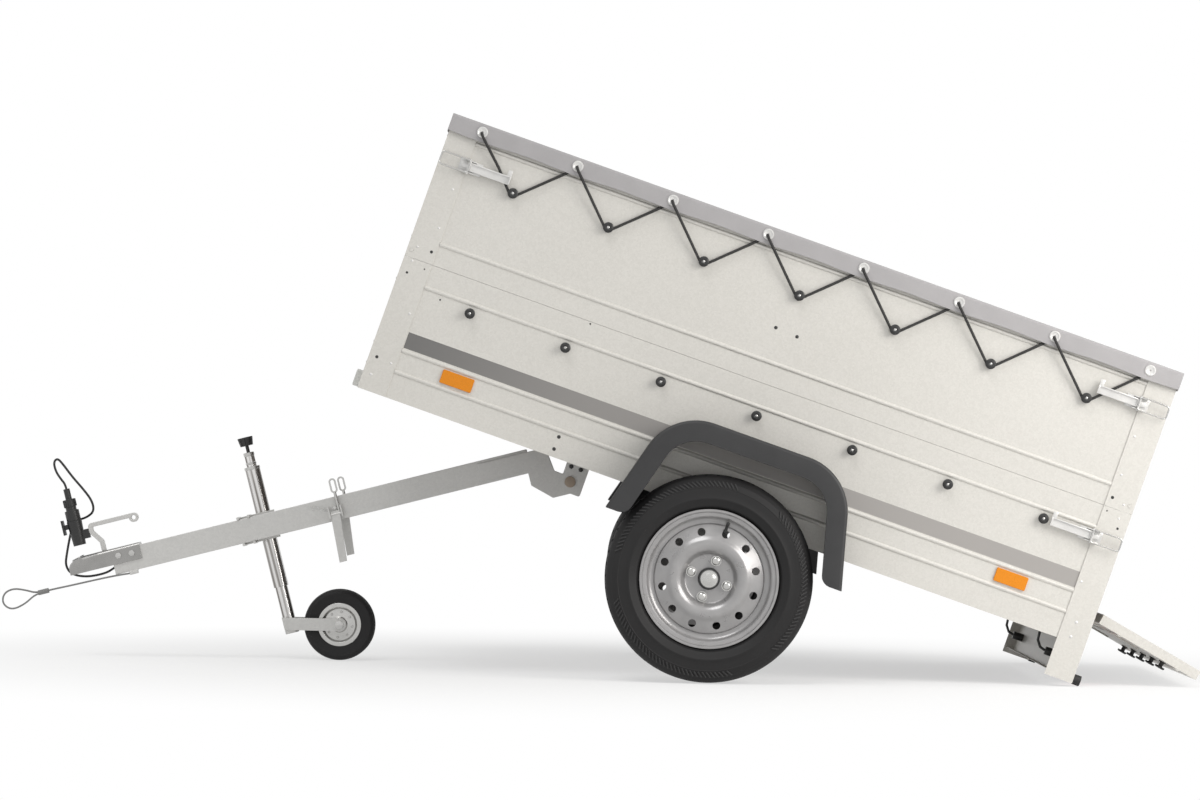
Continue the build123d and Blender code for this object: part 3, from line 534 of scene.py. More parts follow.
finishes = {
    "zinc_sheet": zincFinish("zincSheet", zincLook)[0],
    "zinc_frame": zincFinish("zincFrame", frameLook)[0],
    "bright_steel": brightFinish("brightSteel", (0.54, 0.535, 0.52), 0.24),
    "ply_floor": plyFinish(),
    "cover_cloth": clothFinish("coverCloth", (0.395, 0.385, 0.39)),
    "lacing_cord": braidFinish("lacingCord", (0.022, 0.021, 0.02), 0.004),
    "black_plastic": mouldedFinish("blackPlastic", (0.022, 0.022, 0.022), 0.42, 500, 0.0003),
    "guard_plastic": mouldedFinish("guardPlastic", (0.025, 0.025, 0.026), 0.5, 700, 0.0003),
    "lamp_body": mouldedFinish("lampBody", (0.035, 0.035, 0.036), 0.45, 500, 0.0003),
    "amber": lensFinish("amberLens", (0.77, 0.26, 0.014), 900),
    "red_lens": lensFinish("redLens", (0.50, 0.012, 0.012), 260),
    "marker_white": lensFinish("clearLens", (0.74, 0.74, 0.71), 300),
    "buffer_rubber": rubberFinish("bufferRubber", (0.02, 0.02, 0.02), (0.04, 0.04, 0.04)),
    "tyre": rubberFinish("tyreRubber", (0.0085, 0.0082, 0.0085), (0.015, 0.0145, 0.0148)),
    "rim_silver": paintFinish("rimSilver", (0.35, 0.345, 0.345), 0.28),
    "hub_steel": mouldedFinish("hubSteel", (0.16, 0.16, 0.16), 0.45, 200, 0.0006),
    "cable_black": mouldedFinish("cableSheath", (0.018, 0.018, 0.018), 0.45, 900, 0.0002),
    "wire_rope": braidFinish("wireRope", (0.30, 0.30, 0.295), 0.003),
}
wallFinish = stripedWall()
paleMetal = paintFinish("paleMetal", (0.70, 0.695, 0.68), 0.34)
shinyZinc = brightFinish("shinyZinc", (0.34, 0.335, 0.325), 0.26)
# a lighter copy of the tyre rubber for the raised sidewall ribs: painted highlight
ribRubberPaintedLit = rubberFinish("ribRubberPaintedLit", (0.030, 0.0295, 0.030), (0.042, 0.0415, 0.042))
tubeFinish = tubePaintedReflections()
bushBrown = mouldedFinish("bushBrown", (0.46, 0.37, 0.29), 0.5, 300, 0.0002)
ownFinishes = {"side_wall_left": wallFinish, "side_wall_right": wallFinish, "coupling_head": shinyZinc,
               "jockey_tube": tubeFinish, "jockey_leg": tubeFinish,
               "jockey_rim": finishes["bright_steel"]}
for part in frame["record"]["subparts"]:
    materials = nodes[part["node"]].data.materials
    materials.clear()
    materials.append(ownFinishes.get(part["node"], finishes[part["material_slot"]]))
print("finishes laid on", len(nodes), "nodes")

# Folded and pressed edges catch the light on a small round
edgeRounds = {"zinc_sheet": 0.0009, "zinc_frame": 0.0014, "bright_steel": 0.0008,
              "black_plastic": 0.0008, "guard_plastic": 0.003, "lamp_body": 0.002, "amber": 0.0015,
              "red_lens": 0.002, "marker_white": 0.003, "rim_silver": 0.0012, "hub_steel": 0.001,
              "buffer_rubber": 0.0015}
for part in frame["record"]["subparts"]:
    width = edgeRounds.get(part["material_slot"])
    if width is None:
        continue
    node = nodes[part["node"]]
    for face in node.data.polygons:
        face.use_smooth = True
    modify(node, "weld", "WELD", merge_threshold=0.00002)
    modify(node, "flats", "DECIMATE", decimate_type="DISSOLVE", angle_limit=math.radians(0.6))
    modify(node, "edges", "BEVEL", width=width, segments=2, limit_method="ANGLE",
           angle_limit=math.radians(32))
    modify(node, "even", "WEIGHTED_NORMAL", weight=100)
print("edges rounded")

# Camera: near the ground, far off, rolled a little so that the trailer's rear sits lower
cameraLook = {"place": (0.0151, -11.0061, 0.6208), "yaw": -0.367, "rise": 0.642, "roll": -1.031,
              "lens": 117.85, "sensor": 36}
deselectAll()
bpy.ops.object.camera_add(location=cameraLook["place"])
camera = bpy.context.object
aim = turned(-cameraLook["yaw"], "Z") @ turned(90 + cameraLook["rise"], "X")
camera.rotation_euler = (aim @ turned(-cameraLook["roll"], "Z")).to_euler()
camera.data.lens = cameraLook["lens"]
camera.data.sensor_width = cameraLook["sensor"]
scene.camera = camera

# Studio: white surroundings, a soft key from above, a fill at the rear, a floor that fades to white
studio = {"floorSize": 120, "floorColour": (0.90, 0.90, 0.895), "surround": 0.465,
          "keyPlace": (-3, -4, 6), "keyStrength": 0.80, "keySpread": 26, "keyTurn": (24, -14, 0),
          "fillPlace": (4.0, -3.0, 2.2), "fillAim": (1.2, 0, 0.5), "fillSize": 2.6, "fillPower": 148,
          "fillColour": (1, 0.97, 0.94), "whiteFrom": 0.35, "whiteAt": 1.05, "pool": (2.6, 2.2, 1),
          "paperShare": 0.55}


def showingRays(tree):
    # the rays that see the surroundings as white
    rays = tree.nodes.new("ShaderNodeLightPath")
    showing = rays.outputs["Is Camera Ray"]
    for kind in ("Is Glossy Ray", "Is Transmission Ray"):
        showing = maths(tree, "MAXIMUM", showing, rays.outputs[kind])
    return showing


deselectAll()
bpy.ops.mesh.primitive_plane_add(size=studio["floorSize"], location=(0, 0, 0))
floor = bpy.context.object
floor.name = "studioFloor"
floorFinish, floorTree, floorShader = newFinish("studioFloor", studio["floorColour"], 0.9)
floorShader.inputs["Specular IOR Level"].default_value = 0.1
floor.data.materials.append(floorFinish)
away = addNode(floorTree, "VectorMath", {0: objectPlace(floorTree, scale=studio["pool"])})
away.operation = "LENGTH"
fading = addNode(floorTree, "MapRange", {"Value": away.outputs["Value"], "From Min": studio["whiteFrom"],
                                         "From Max": studio["whiteAt"], "To Min": studio["paperShare"]})
fading.interpolation_type = "SMOOTHSTEP"
paper = floorTree.nodes.new("ShaderNodeEmission")
paperShare = maths(floorTree, "MULTIPLY", fading.outputs["Result"], showingRays(floorTree))
together = addNode(floorTree, "MixShader", {"Fac": paperShare, 1: floorShader.outputs["BSDF"],
                                            2: paper.outputs["Emission"]})
feed(floorTree, together.outputs["Shader"], floorTree.nodes["Material Output"].inputs["Surface"])
world = bpy.data.worlds.new("studioSurround")
scene.world = world
world.use_nodes = True
skyTree = world.node_tree
backdrop = skyTree.nodes["Background"]
skyLevel = spread(skyTree, showingRays(skyTree), studio["surround"], 1.0)
skyTree.links.new(skyLevel, backdrop.inputs["Strength"])
backdrop.inputs["Color"].default_value = (1, 1, 1, 1)
bpy.ops.object.light_add(type="SUN", location=studio["keyPlace"])
key = bpy.context.object
key.data.energy = studio["keyStrength"]
key.data.angle = math.radians(studio["keySpread"])
key.rotation_euler = [math.radians(a) for a in studio["keyTurn"]]
bpy.ops.object.light_add(type="AREA", location=studio["fillPlace"])
fill = bpy.context.object
fill.data.size = studio["fillSize"]
fill.data.energy = studio["fillPower"]
fill.data.color = studio["fillColour"]
fillAim = Vector(studio["fillAim"]) - fill.location
fill.rotation_euler = fillAim.to_track_quat("-Z", "Y").to_euler()
scene.view_settings.view_transform = "Standard"
print("camera and studio set")

# Free cords: the plug's cable, the breakaway rope and its loop, in the drawbar's frame
plugX = -1.377
cable = {"diameter": 0.0065, "length": 0.658, "points": [
    (-1.280, 0.016, 0.082), (-1.310, 0.024, 0.066), (-1.346, 0.042, 0.062), (-1.392, 0.048, 0.066),
    (-1.428, 0.044, 0.084), (-1.436, 0.040, 0.112), (-1.424, 0.038, 0.142), (-1.410, 0.038, 0.174),
    (-1.396, 0.040, 0.204), (-1.372, 0.040, 0.226), (-1.342, 0.032, 0.228), (-1.318, 0.018, 0.240),
    (-1.316, 0.008, 0.270), (-1.332, 0.002, 0.308), (-1.352, 0, 0.346), (-1.368, 0, 0.384),
    (-1.380, 0, 0.408), (-1.394, 0, 0.400), (-1.394, 0, 0.372), (-1.384, 0, 0.346),
    (plugX, 0, 0.332), (plugX, 0, 0.318)]}
rope = {"diameter": 0.005, "length": 0.2307, "points": [
    (-1.2563, -0.034, 0.046), (-1.290, -0.032, 0.049), (-1.345, -0.034, 0.051), (-1.400, -0.033, 0.052),
    (-1.442, -0.034, 0.053), (-1.470, -0.034, 0.054), (-1.4867, -0.034, 0.054)]}
loop = {"diameter": 0.005, "length": 0.2422, "points": [
    (-1.5173, -0.031, 0.0565), (-1.528, -0.031, 0.0575), (-1.548, -0.031, 0.069), (-1.582, -0.032, 0.083),
    (-1.612, -0.034, 0.076), (-1.622, -0.035, 0.048), (-1.600, -0.036, 0.025), (-1.560, -0.037, 0.033),
    (-1.530, -0.037, 0.050), (-1.5173, -0.037, 0.0515)]}


def routed(name, row, slotName, node):
    points = [barFrame @ Vector(point) for point in row["points"]]
    piece = roundCurve(name, [points], row["diameter"], 4, "NURBS")
    dress(piece, "drawbar", slotName, stoodFor=(node,))
    return piece


plugCable = routed("plugCable", cable, "cable_black", "plug_cable")
for name, row, node in (("safetyRope", rope, "safety_cable"), ("safetyLoop", loop, "safety_loop")):
    steelCord = routed(name, row, "wire_rope", node)
print("cords routed")

# Cover: a stretched sheet with side hems, and a flap that hangs at each end
cover = {"length": 2.058, "width": 1.174, "height": 0.7722, "middle": 1.025, "thick": 0.0016,
         "hem": 0.049, "hemRows": 5, "hemRound": 0.005, "hemLift": 0.0035, "hemPuff": 0.0022,
         "sag": 0.011, "ripple": 0.0012, "fromEnd": 0.16, "fromSide": 0.10, "rippleFrom": 0.03,
         "eyeletFirst": 0.086, "eyeletStep": 0.2686, "eyelets": 8, "eyeletHeight": 0.749,
         "eyeletOut": 0.5882, "flap": 1.168, "flapOut": 0.0028, "flapBelow": 0.001, "ruffle": 0.0012}


def ease(value):
    value = max(0.0, min(1.0, value))
    return value * value * (3 - 2 * value)


def eyeletWave(along):
    # 1 at an eyelet, 0 half way to the next
    return 0.5 + 0.5 * math.cos(2 * math.pi * (along - cover["eyeletFirst"]) / cover["eyeletStep"])


def thickCloth(piece, offset):
    modify(piece, "cloth", "SOLIDIFY", thickness=cover["thick"], offset=offset)
    work(piece)
    bpy.ops.object.modifier_apply(modifier="cloth")


def makeCover():
    deselectAll()
    bpy.ops.mesh.primitive_grid_add(x_subdivisions=132, y_subdivisions=64, size=1,
                                    location=(cover["middle"], 0, cover["height"]))
    sheet = bpy.context.object
    sheet.name = "coverSheet"
    sheet.scale = (cover["length"], cover["width"], 1)
    applyPlace()
    edit(sheet)
    half = cover["width"] / 2
    nearSide, nearTop = half - 0.0005, cover["height"] - 0.0005

    def atSide(edge):
        return min(abs(vertex.co.y) for vertex in edge.verts) > nearSide

    pick(sheet, "EDGE", atSide)
    for row in range(cover["hemRows"]):
        extrudeBy((0, 0, -cover["hem"] / cover["hemRows"]))
    pick(sheet, "EDGE", lambda edge: atSide(edge) and min(v.co.z for v in edge.verts) > nearTop)
    bevelPicked(cover["hemRound"], 3)
    leaveEdit()
    for vertex in sheet.data.vertices:
        along, across, up = vertex.co
        inset = half - abs(across)
        fromEnd = ease(min(along, bed["length"] - along) / cover["fromEnd"])
        fromSide = ease(inset / cover["fromSide"])
        below = ease((cover["height"] - up) / cover["hem"])
        wave = eyeletWave(along)
        ripple = 0.5 * math.sin(9.1 * along + 4 * across)
        ripple += 0.5 * math.sin(23 * along - 7 * across + 1.3)
        vertex.co.z -= fromSide * fromEnd * cover["sag"] * (1 - (across / half) ** 2)
        vertex.co.z += cover["ripple"] * fromEnd * ease(inset / cover["rippleFrom"]) * ripple
        vertex.co.z += below * cover["hemLift"] * (1 - wave)
        vertex.co.y += math.copysign(below * cover["hemPuff"] * (0.5 - wave), across)
    thickCloth(sheet, -1)
    smooth(50)
    onBed(sheet, "cover_cloth", stoodFor=("cover_top", "cover_skirts"))
    return sheet


def makeFlap(name, face, outward):
    # hangs just outside the end board
    deselectAll()
    bpy.ops.mesh.primitive_grid_add(x_subdivisions=4, y_subdivisions=60, size=1)
    flap = bpy.context.object
    flap.name = name
    flap.scale = (cover["hem"], cover["flap"], 1)
    applyPlace()
    for vertex in flap.data.vertices:
        across = vertex.co.y
        drop = vertex.co.x + cover["hem"] / 2
        ruffle = cover["ruffle"] * math.sin(21 * across) * drop / cover["hem"]
        vertex.co = (face + outward * (cover["flapOut"] + ruffle), across,
                     cover["height"] - cover["flapBelow"] - drop)
    thickCloth(flap, 0)
    faceOutwards(flap)
    smooth(50)
    onBed(flap, "cover_cloth", stoodFor=("cover_end_flaps",))
    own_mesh(flap)


coverSheet = makeCover()
makeFlap("coverFlapFront", 0.0, -1)
makeFlap("coverFlapRear", bed["length"], 1)
print("cover stretched")

# Elastic lacing: out of an eyelet, round the knob below it, and back up behind the hem
lacing = {"diameter": 0.0076, "spans": 7, "wrap": 0.0102, "behind": 0.5805, "front": 0.5965,
          "knobFirst": 0.2163, "knobStep": 0.2692, "knobHeight": 0.6235, "underLever": (0.072, 0.675)}


def makeLacing(name, sign, node):
    behind, front, top = lacing["behind"], lacing["front"], cover["eyeletHeight"]
    runs = []
    for span in range(lacing["spans"]):
        eyelet = cover["eyeletFirst"] + span * cover["eyeletStep"]
        knob = lacing["knobFirst"] + span * lacing["knobStep"]
        points = [(eyelet - 0.004, behind + 0.003, top - 0.001),
                  (eyelet + 0.001, front - 0.004, top - 0.005), (eyelet + 0.005, front, top - 0.011)]
        if span == 0:   # passes behind the front latch's lever
            points.append((eyelet + lacing["underLever"][0], behind, lacing["underLever"][1]))
        for turn in range(195, 352, 12):
            angle = math.radians(turn)
            points.append((knob + lacing["wrap"] * math.cos(angle), behind,
                           lacing["knobHeight"] + lacing["wrap"] * math.sin(angle)))
        points.append((eyelet + cover["eyeletStep"] - 0.006, behind, top - 0.012))
        runs.append([bedFrame @ Vector((along, sign * across, up)) for along, across, up in points])
    dress(roundCurve(name, runs, lacing["diameter"], 3), "bed", "lacing_cord", stoodFor=(node,))


makeLacing("lacingLeft", -1, "lacing_left")
makeLacing("lacingRight", 1, "lacing_right")
print("lacing run")

# Road tyres: a turned carcass, grooves across the shoulders and fine ribs on the sidewall
tyre = {"steps": 216, "groove": 0.004, "shoulder": (0.2706, 0.029, 0.050), "shoulderEvery": 4,
        "fields": 3, "ribs": 36, "ribHalf": (0.0095, 0.0017), "ribHeight": 0.0036,
        "ribCircle": 0.2490, "ribSeat": 0.0724, "ribSlope": -18, "ribSlant": 38, "half": [
    (0.1664, 0.0566), (0.1832, 0.0566), (0.1875, 0.063), (0.1905, 0.0695), (0.199, 0.0745),
    (0.2075, 0.0772), (0.2095, 0.0785), (0.2125, 0.0785), (0.214, 0.0777), (0.228, 0.0773),
    (0.238, 0.0762), (0.2395, 0.0768), (0.2545, 0.0712), (0.256, 0.0695), (0.262, 0.0645),
    (0.2675, 0.0580), (0.2705, 0.0500), (0.2717, 0.0440), (0.2722, 0.0290), (0.2655, 0.0275),
    (0.2655, 0.0225), (0.2731, 0.0210), (0.2735, 0.0055), (0.2665, 0.0042)]}


def makeTyre(side):
    half = tyre["half"]
    back = [(radius, -along) for radius, along in reversed(half)]
    piece = lathe("tyre_" + side, half + back + [half[0]], tyre["steps"])
    edit(piece)
    least, inner, outer = tyre["shoulder"]

    def grooved(face):
        centre = face.calc_center_median()
        share = (math.atan2(centre.z, centre.x) + math.pi) / (2 * math.pi)
        step = int(share * tyre["steps"] + 0.001)
        onShoulder = math.hypot(centre.x, centre.z) > least and inner < abs(centre.y) < outer
        return onShoulder and step % tyre["shoulderEvery"] == 0

    pick(piece, "FACE", grooved)
    fatten(-tyre["groove"])
    leaveEdit()
    smooth(28)
    settle(piece, wheelFrames[side], "wheel_" + side, "tyre", stoodFor=("wheel_tyre_" + side,))
    long, wide = tyre["ribHalf"]
    rib = slab("tyreRibs_" + side, (-long, 0, -wide), (long, tyre["ribHeight"], wide), 0.0007, 1)
    lean = turned(tyre["ribSlope"], "Z") @ turned(tyre["ribSlant"], "Y")
    places = []
    for field in range(tyre["fields"]):
        for n in range(tyre["ribs"]):
            turn = 360 * (field + 0.12 + 0.76 * n / tyre["ribs"]) / tyre["fields"]
            places.append(turned(turn, "Y") @ moved(tyre["ribCircle"], tyre["ribSeat"], 0) @ lean)
    # the sidewall ribs in the lighter rubber: painted highlight
    settle(copies(rib, places), wheelFrames[side], "wheel_" + side, "tyre", ribRubberPaintedLit)


# Wheel trim: hub cap, domed bolt heads and the valve; all but the valve's heights are above the disc
trim = {"disc": 0.030, "boltCircle": 0.050, "boltTurn": 69, "bolts": 4,
        "valveCircle": 0.127, "valveTurn": 72, "valveSeat": 0.036, "valveLean": 0.85,
        "ring": [(0.0215, 0.006), (0.0285, 0.006), (0.0285, 0.019), (0.0272, 0.0215), (0.0235, 0.0215),
                 (0.0225, 0.019), (0.0215, 0.006)],
        "dome": [(0, 0.0325), (0.008, 0.0318), (0.0145, 0.0295), (0.0195, 0.0265), (0.0224, 0.0262),
                 (0.0226, 0.010), (0, 0.010)],
        "bolt": [(0, 0.0212), (0.0062, 0.0205), (0.0098, 0.0182), (0.0110, 0.0165), (0.0112, 0.0085),
                 (0.0138, 0.0080), (0.0140, 0.0045), (0, 0.0045)],
        "valve": [(0, 0.0), (0.0058, 0.0), (0.0058, 0.010), (0.0042, 0.013), (0.0040, 0.030),
                  (0.0046, 0.031), (0.0046, 0.042), (0.0030, 0.044), (0, 0.044)]}


def onCircle(radius, degrees):
    angle = math.radians(degrees)
    return Vector((radius * math.cos(angle), 0, radius * math.sin(angle)))


def makeWheelTrim(side):
    place, body = wheelFrames[side], "wheel_" + side

    def turnedPiece(name, shape, steps):
        profile = [(radius, trim["disc"] + height) for radius, height in trim[shape]]
        return lathe(name + side, profile, steps)

    def mirroredTurn(degrees):
        return degrees if side == "right" else 180 - degrees

    settle(turnedPiece("capRing_", "ring", 48), place, body, "black_plastic")
    settle(turnedPiece("capDome_", "dome", 40), place, body, "bright_steel")
    bolt = turnedPiece("wheelBolts_", "bolt", 24)
    first = mirroredTurn(trim["boltTurn"])
    spots = [onCircle(trim["boltCircle"], first + 90 * n) for n in range(trim["bolts"])]
    settle(copies(bolt, [Matrix.Translation(spot) for spot in spots]), place, body, "bright_steel")
    valve = lathe("valve_" + side, trim["valve"], 16)
    out = onCircle(1, mirroredTurn(trim["valveTurn"]))
    axle = Vector((0, 1, 0))
    lean = axle.rotation_difference(axle + trim["valveLean"] * out).to_matrix().to_4x4()
    seat = trim["valveCircle"] * out + trim["valveSeat"] * axle
    valve.matrix_world = Matrix.Translation(seat) @ lean
    settle(valve, place, body, "black_plastic")


for side in ("left", "right"):
    makeTyre(side)
    makeWheelTrim(side)
print("wheels dressed")

# Mudguards: the moulding's outer edge is well rounded
guard = {"out": 0.7763, "edge": 0.009, "middle": (1.0505, 0.02), "footEdges": -0.07, "lowEnd": -0.055,
         "outerBand": 0.75, "frontLeg": (0.755, 0.82), "rearLeg": (1.28, 1.345), "corner": 0.022,
         "sharp": 0.0008}


def makeGuard(side):
    source = nodes["mudguard_" + side]
    piece = source.copy()
    piece.data = source.data.copy()
    piece.modifiers.clear()
    for key in list(piece.keys()):
        del piece[key]
    scene.collection.objects.link(piece)
    piece.parent = None
    piece.matrix_world = bedFrame.inverted() @ source.matrix_world
    piece.name = "guard_" + side
    work(piece)
    applyPlace()
    edit(piece)
    pickAll()
    bpy.ops.mesh.remove_doubles(threshold=0.00002)
    bpy.ops.mesh.dissolve_limited(angle_limit=math.radians(0.4))

    def alongRim(edge):
        # outer edge of the moulding's face, all but its two feet
        if min(abs(v.co.y) for v in edge.verts) < guard["out"] - 0.0006 or len(edge.link_faces) != 2:
            return False
        middle = (edge.verts[0].co + edge.verts[1].co) / 2
        outwards = Vector((middle.x - guard["middle"][0], 0, middle.z - guard["middle"][1]))
        flank, face = sorted(edge.link_faces, key=lambda face: abs(face.normal.y))
        facing = abs(face.normal.y) > 0.9 and flank.normal.dot(outwards) > 0
        return facing and middle.z > guard["footEdges"]

    def footCorner(edge):
        one, other = (v.co for v in edge.verts)
        outer = min(abs(one.y), abs(other.y)) > guard["outerBand"] and abs(one.y - other.y) > 0.002
        legs = (guard["frontLeg"], guard["rearLeg"])
        onLeg = any(low < one.x < high for low, high in legs)
        return max(one.z, other.z) < guard["lowEnd"] and outer and onLeg

    pick(piece, "EDGE", alongRim)
    bevelPicked(guard["edge"], 4)
    pick(piece, "EDGE", footCorner)
    bevelPicked(guard["corner"], 4)
    pickNone()
    bpy.ops.mesh.edges_select_sharp(sharpness=math.radians(50))
    bevelPicked(guard["sharp"], 1)
    leaveEdit()
    smooth(32)
    onBed(piece, "guard_plastic", stoodFor=("mudguard_" + side,))


# Pressed steel rims: a turned section with a ring of round vents
rim = {"steps": 144, "vents": 12, "ventTurn": 10, "ventCircle": 0.124, "ventRadius": 0.0105,
       "ventReach": (0.030, 0.070), "section": [
    (0.1822, 0.0598), (0.1829, 0.0616), (0.1822, 0.0634), (0.1795, 0.0640), (0.1765, 0.0632),
    (0.1745, 0.0605), (0.1725, 0.0555), (0.1690, 0.0525), (0.1640, 0.0508), (0.1618, 0.0480),
    (0.1612, 0.0380), (0.1590, 0.0348), (0.1540, 0.0318), (0.1480, 0.0300), (0.1455, 0.0302),
    (0.1440, 0.0330), (0.1425, 0.0358), (0.1380, 0.0378), (0.1140, 0.0466), (0.1090, 0.0492),
    (0.1040, 0.0530), (0.0990, 0.0553), (0.0940, 0.0560), (0.0880, 0.0553), (0.0820, 0.0533),
    (0.0760, 0.0495), (0.0710, 0.0445), (0.0670, 0.0395), (0.0640, 0.0365), (0.0610, 0.0352),
    (0.0570, 0.0350), (0.0292, 0.0350), (0.0292, 0.0302), (0.0620, 0.0302), (0.0690, 0.0345),
    (0.0790, 0.0455), (0.0940, 0.0512), (0.1050, 0.0465), (0.1120, 0.0425), (0.1370, 0.0322),
    (0.1408, 0.0160), (0.1442, -0.0240), (0.1600, -0.0380), (0.1600, -0.0640), (0.1825, -0.0640),
    (0.1825, -0.0602), (0.1660, -0.0572), (0.1660, -0.0340), (0.1500, -0.0220), (0.1500, 0.0200),
    (0.1660, 0.0340), (0.1660, 0.0566), (0.1822, 0.0598)]}


def makeRim(side):
    piece = lathe("rim_" + side, rim["section"], rim["steps"])
    low, high = rim["ventReach"]
    radius = rim["ventRadius"]
    punch = lathe("ventPunch_" + side, [(0, low), (radius, low), (radius, high), (0, high)], 32)
    first = rim["ventTurn"] if side == "right" else -rim["ventTurn"]
    spots = [onCircle(rim["ventCircle"], first + 360 * n / rim["vents"]) for n in range(rim["vents"])]
    punch = copies(punch, [Matrix.Translation(spot) for spot in spots])
    modify(piece, "vents", "BOOLEAN", operation="DIFFERENCE", object=punch, solver="EXACT")
    work(piece)
    bpy.ops.object.modifier_apply(modifier="vents")
    bpy.data.objects.remove(punch)
    smooth(30)
    settle(piece, wheelFrames[side], "wheel_" + side, "rim_silver", stoodFor=("wheel_rim_" + side,))


for side in ("left", "right"):
    makeGuard(side)
    makeRim(side)
print("mudguards and rims made")

# Over-centre latches: base with a pin, channel lever with a bent tip, wire bail over the post's edge
latch = {"rows": ((1, 0.657), (1, 0.285), (-1, 0.651)), "low": 0.0093, "wire": 0.0045,
         "rivets": ((-0.112, 0.008), (-0.106, -0.008)), "ears": (-0.017, 0.0142)}


def roundedLoop(low, high, half, corner, depth):
    # a closed loop in the plane y = depth, from x = low to x = high
    points = []
    near, far, rise = low + corner, high - corner, half - corner
    for centreX, centreZ, start in ((far, rise, 0), (near, rise, 90), (near, -rise, 180), (far, -rise, 270)):
        for turn in range(start, start + 91, 15):
            points.append(Vector((centreX, depth, centreZ)) + onCircle(corner, turn))
    return points


def latchPlaces():
    places = []
    for end, height in latch["rows"]:
        start = bed["length"] if end > 0 else 0.0
        for side in (1, -1):
            spot = moved(start, side * bed["postFace"], height)
            places.append(spot @ Matrix.Diagonal((end, side, 1, 1)))
    return places


def makeLatches():
    low = latch["low"]
    base = slab("latchBase", (-0.118, 0, -0.017), (-0.055, 0.0026, 0.017), 0.001)
    ears = [slab("latchEar", (-0.100, 0.002, z), (-0.062, low + 0.005, z + 0.0028), 0.0009)
            for z in latch["ears"]]
    web = slab("latchWeb", (-0.090, 0.002, -0.006), (-0.062, low - 0.0004, 0.006), 0.0009)
    pin = lathe("latchPin", [(0, -0.0205), (0.0036, -0.0205), (0.0036, 0.0205), (0, 0.0205)], 16)
    pin.matrix_world = moved(-0.082, low + 0.0015, 0) @ turned(90, "X")
    rivets = []
    for along, up in latch["rivets"]:
        rivet = lathe("latchRivet", [(0, 0.0042), (0.0022, 0.0038), (0.0034, 0.0024), (0, 0.0024)], 12)
        rivet.matrix_world = moved(along, 0, up)
        rivets.append(rivet)
    lever = slab("latchLever", (-0.196, low, -0.0115), (-0.086, low + 0.0068, 0.0115), 0.0012)
    edit(lever)
    pick(lever, "FACE", lambda face: face.normal.y > 0.95)
    bpy.ops.mesh.inset(thickness=0.0018)
    extrudeBy((0, -0.0045, 0))
    leaveEdit()
    smooth(35)
    tip = slab("latchTip", (-0.1985, low, -0.0115), (-0.1955, low + 0.012, 0.0115), 0.0009)
    lip = slab("latchLip", (-0.1985, low + 0.0015, 0.008), (-0.186, low + 0.0045, 0.028), 0.0012)
    body = joinUp([base, *ears, web, pin, *rivets, lever, tip, lip])
    body.name = "latches"
    bodies = faceOutwards(copies(body, latchPlaces()))
    onBed(bodies, "bright_steel", paleMetal, ("board_latches",))
    loopPoints = roundedLoop(-0.0845, -0.0035, 0.0175, 0.008, low + 0.0085)
    bails = faceOutwards(copies(wire("bails", loopPoints, latch["wire"], True), latchPlaces()))
    onBed(bails, "bright_steel", stoodFor=("latch_bails",))


makeLatches()

# Cord knobs' screws and recesses, and the cover's eyelets
knobs = {"rows": (0.2845, 0.6235), "out": 0.5915, "recessOut": 0.5919, "count": 7}


def onKnobs(out):
    places = []
    for row in knobs["rows"]:
        for n in range(knobs["count"]):
            places += onSides(lacing["knobFirst"] + n * lacing["knobStep"], row, out)
    return places


screw = lathe("knobScrews", [(0, 0.0014), (0.0021, 0.0012), (0.0033, 0.0005), (0.0034, -0.001),
                             (0, -0.001)], 16)
onBed(copies(screw, onKnobs(knobs["out"])), "bright_steel")
recess = lathe("knobRecesses", [(0.0048, 0.0004), (0.0066, 0.0016), (0.0085, 0.0012), (0.0095, 0),
                                (0.0048, 0)], 20)
onBed(copies(recess, onKnobs(knobs["recessOut"])), "black_plastic")
eyelet = lathe("eyelets", [(0.0026, -0.0022), (0.0026, 0.0004), (0.0060, 0.0010), (0.0096, 0.0012),
                           (0.0112, 0.0024), (0.0138, 0.0022), (0.0152, 0.0004), (0.0152, -0.0006),
                           (0.0026, -0.0022)], 28)
places = []
for n in range(cover["eyelets"]):
    along = cover["eyeletFirst"] + n * cover["eyeletStep"]
    places += onSides(along, cover["eyeletHeight"], cover["eyeletOut"])
onBed(copies(eyelet, places), "bright_steel", paleMetal, ("cover_eyelets",))

# Rivets, holes and bolts on the bed's sides: along, up, radius. The holes are black discs of painted shade, and
# two of the wall's black domes are painted shade in slots
paleSpots = ((0.0615, 0.5803, 0.0034), (0.0615, 0.4711, 0.0034), (0.0247, 0.4049, 0.003),
             (0.0241, 0.3655, 0.003), (0.0650, 0.2305, 0.0034), (0.0225, 0.0443, 0.0038),
             (0.0631, 0.0897, 0.0034), (1.9867, 0.5707, 0.0034), (1.9878, 0.4627, 0.0034),
             (2.0207, 0.3899, 0.0034), (2.0205, 0.3511, 0.0034), (1.9829, 0.1603, 0.0036),
             (2.0066, 0.0541, 0.0044), (2.0056, 0.0136, 0.0044))
holeShadeSpots = ((0.0646, 0.4045, 0.0042), (0.0624, 0.3550, 0.0022), (0.0214, 0.3315, 0.0034),
             (0.0218, 0.0934, 0.0044), (1.9860, 0.3986, 0.0044), (1.9841, 0.3606, 0.0022),
             (2.0263, 0.3250, 0.0034))
# the two at about 1 m along and 0.52 m up are black domes of painted shade in slots
wallSpots = ((0.129, 0.2925, 0.0024), (0.5265, 0.3666, 0.0024), (0.5489, 0.0558, 0.0050),
             (0.5475, 0.0212, 0.0050), (0.9940, 0.5230, 0.0048), (1.0550, 0.5190, 0.0048))
spotFoot = -0.0006


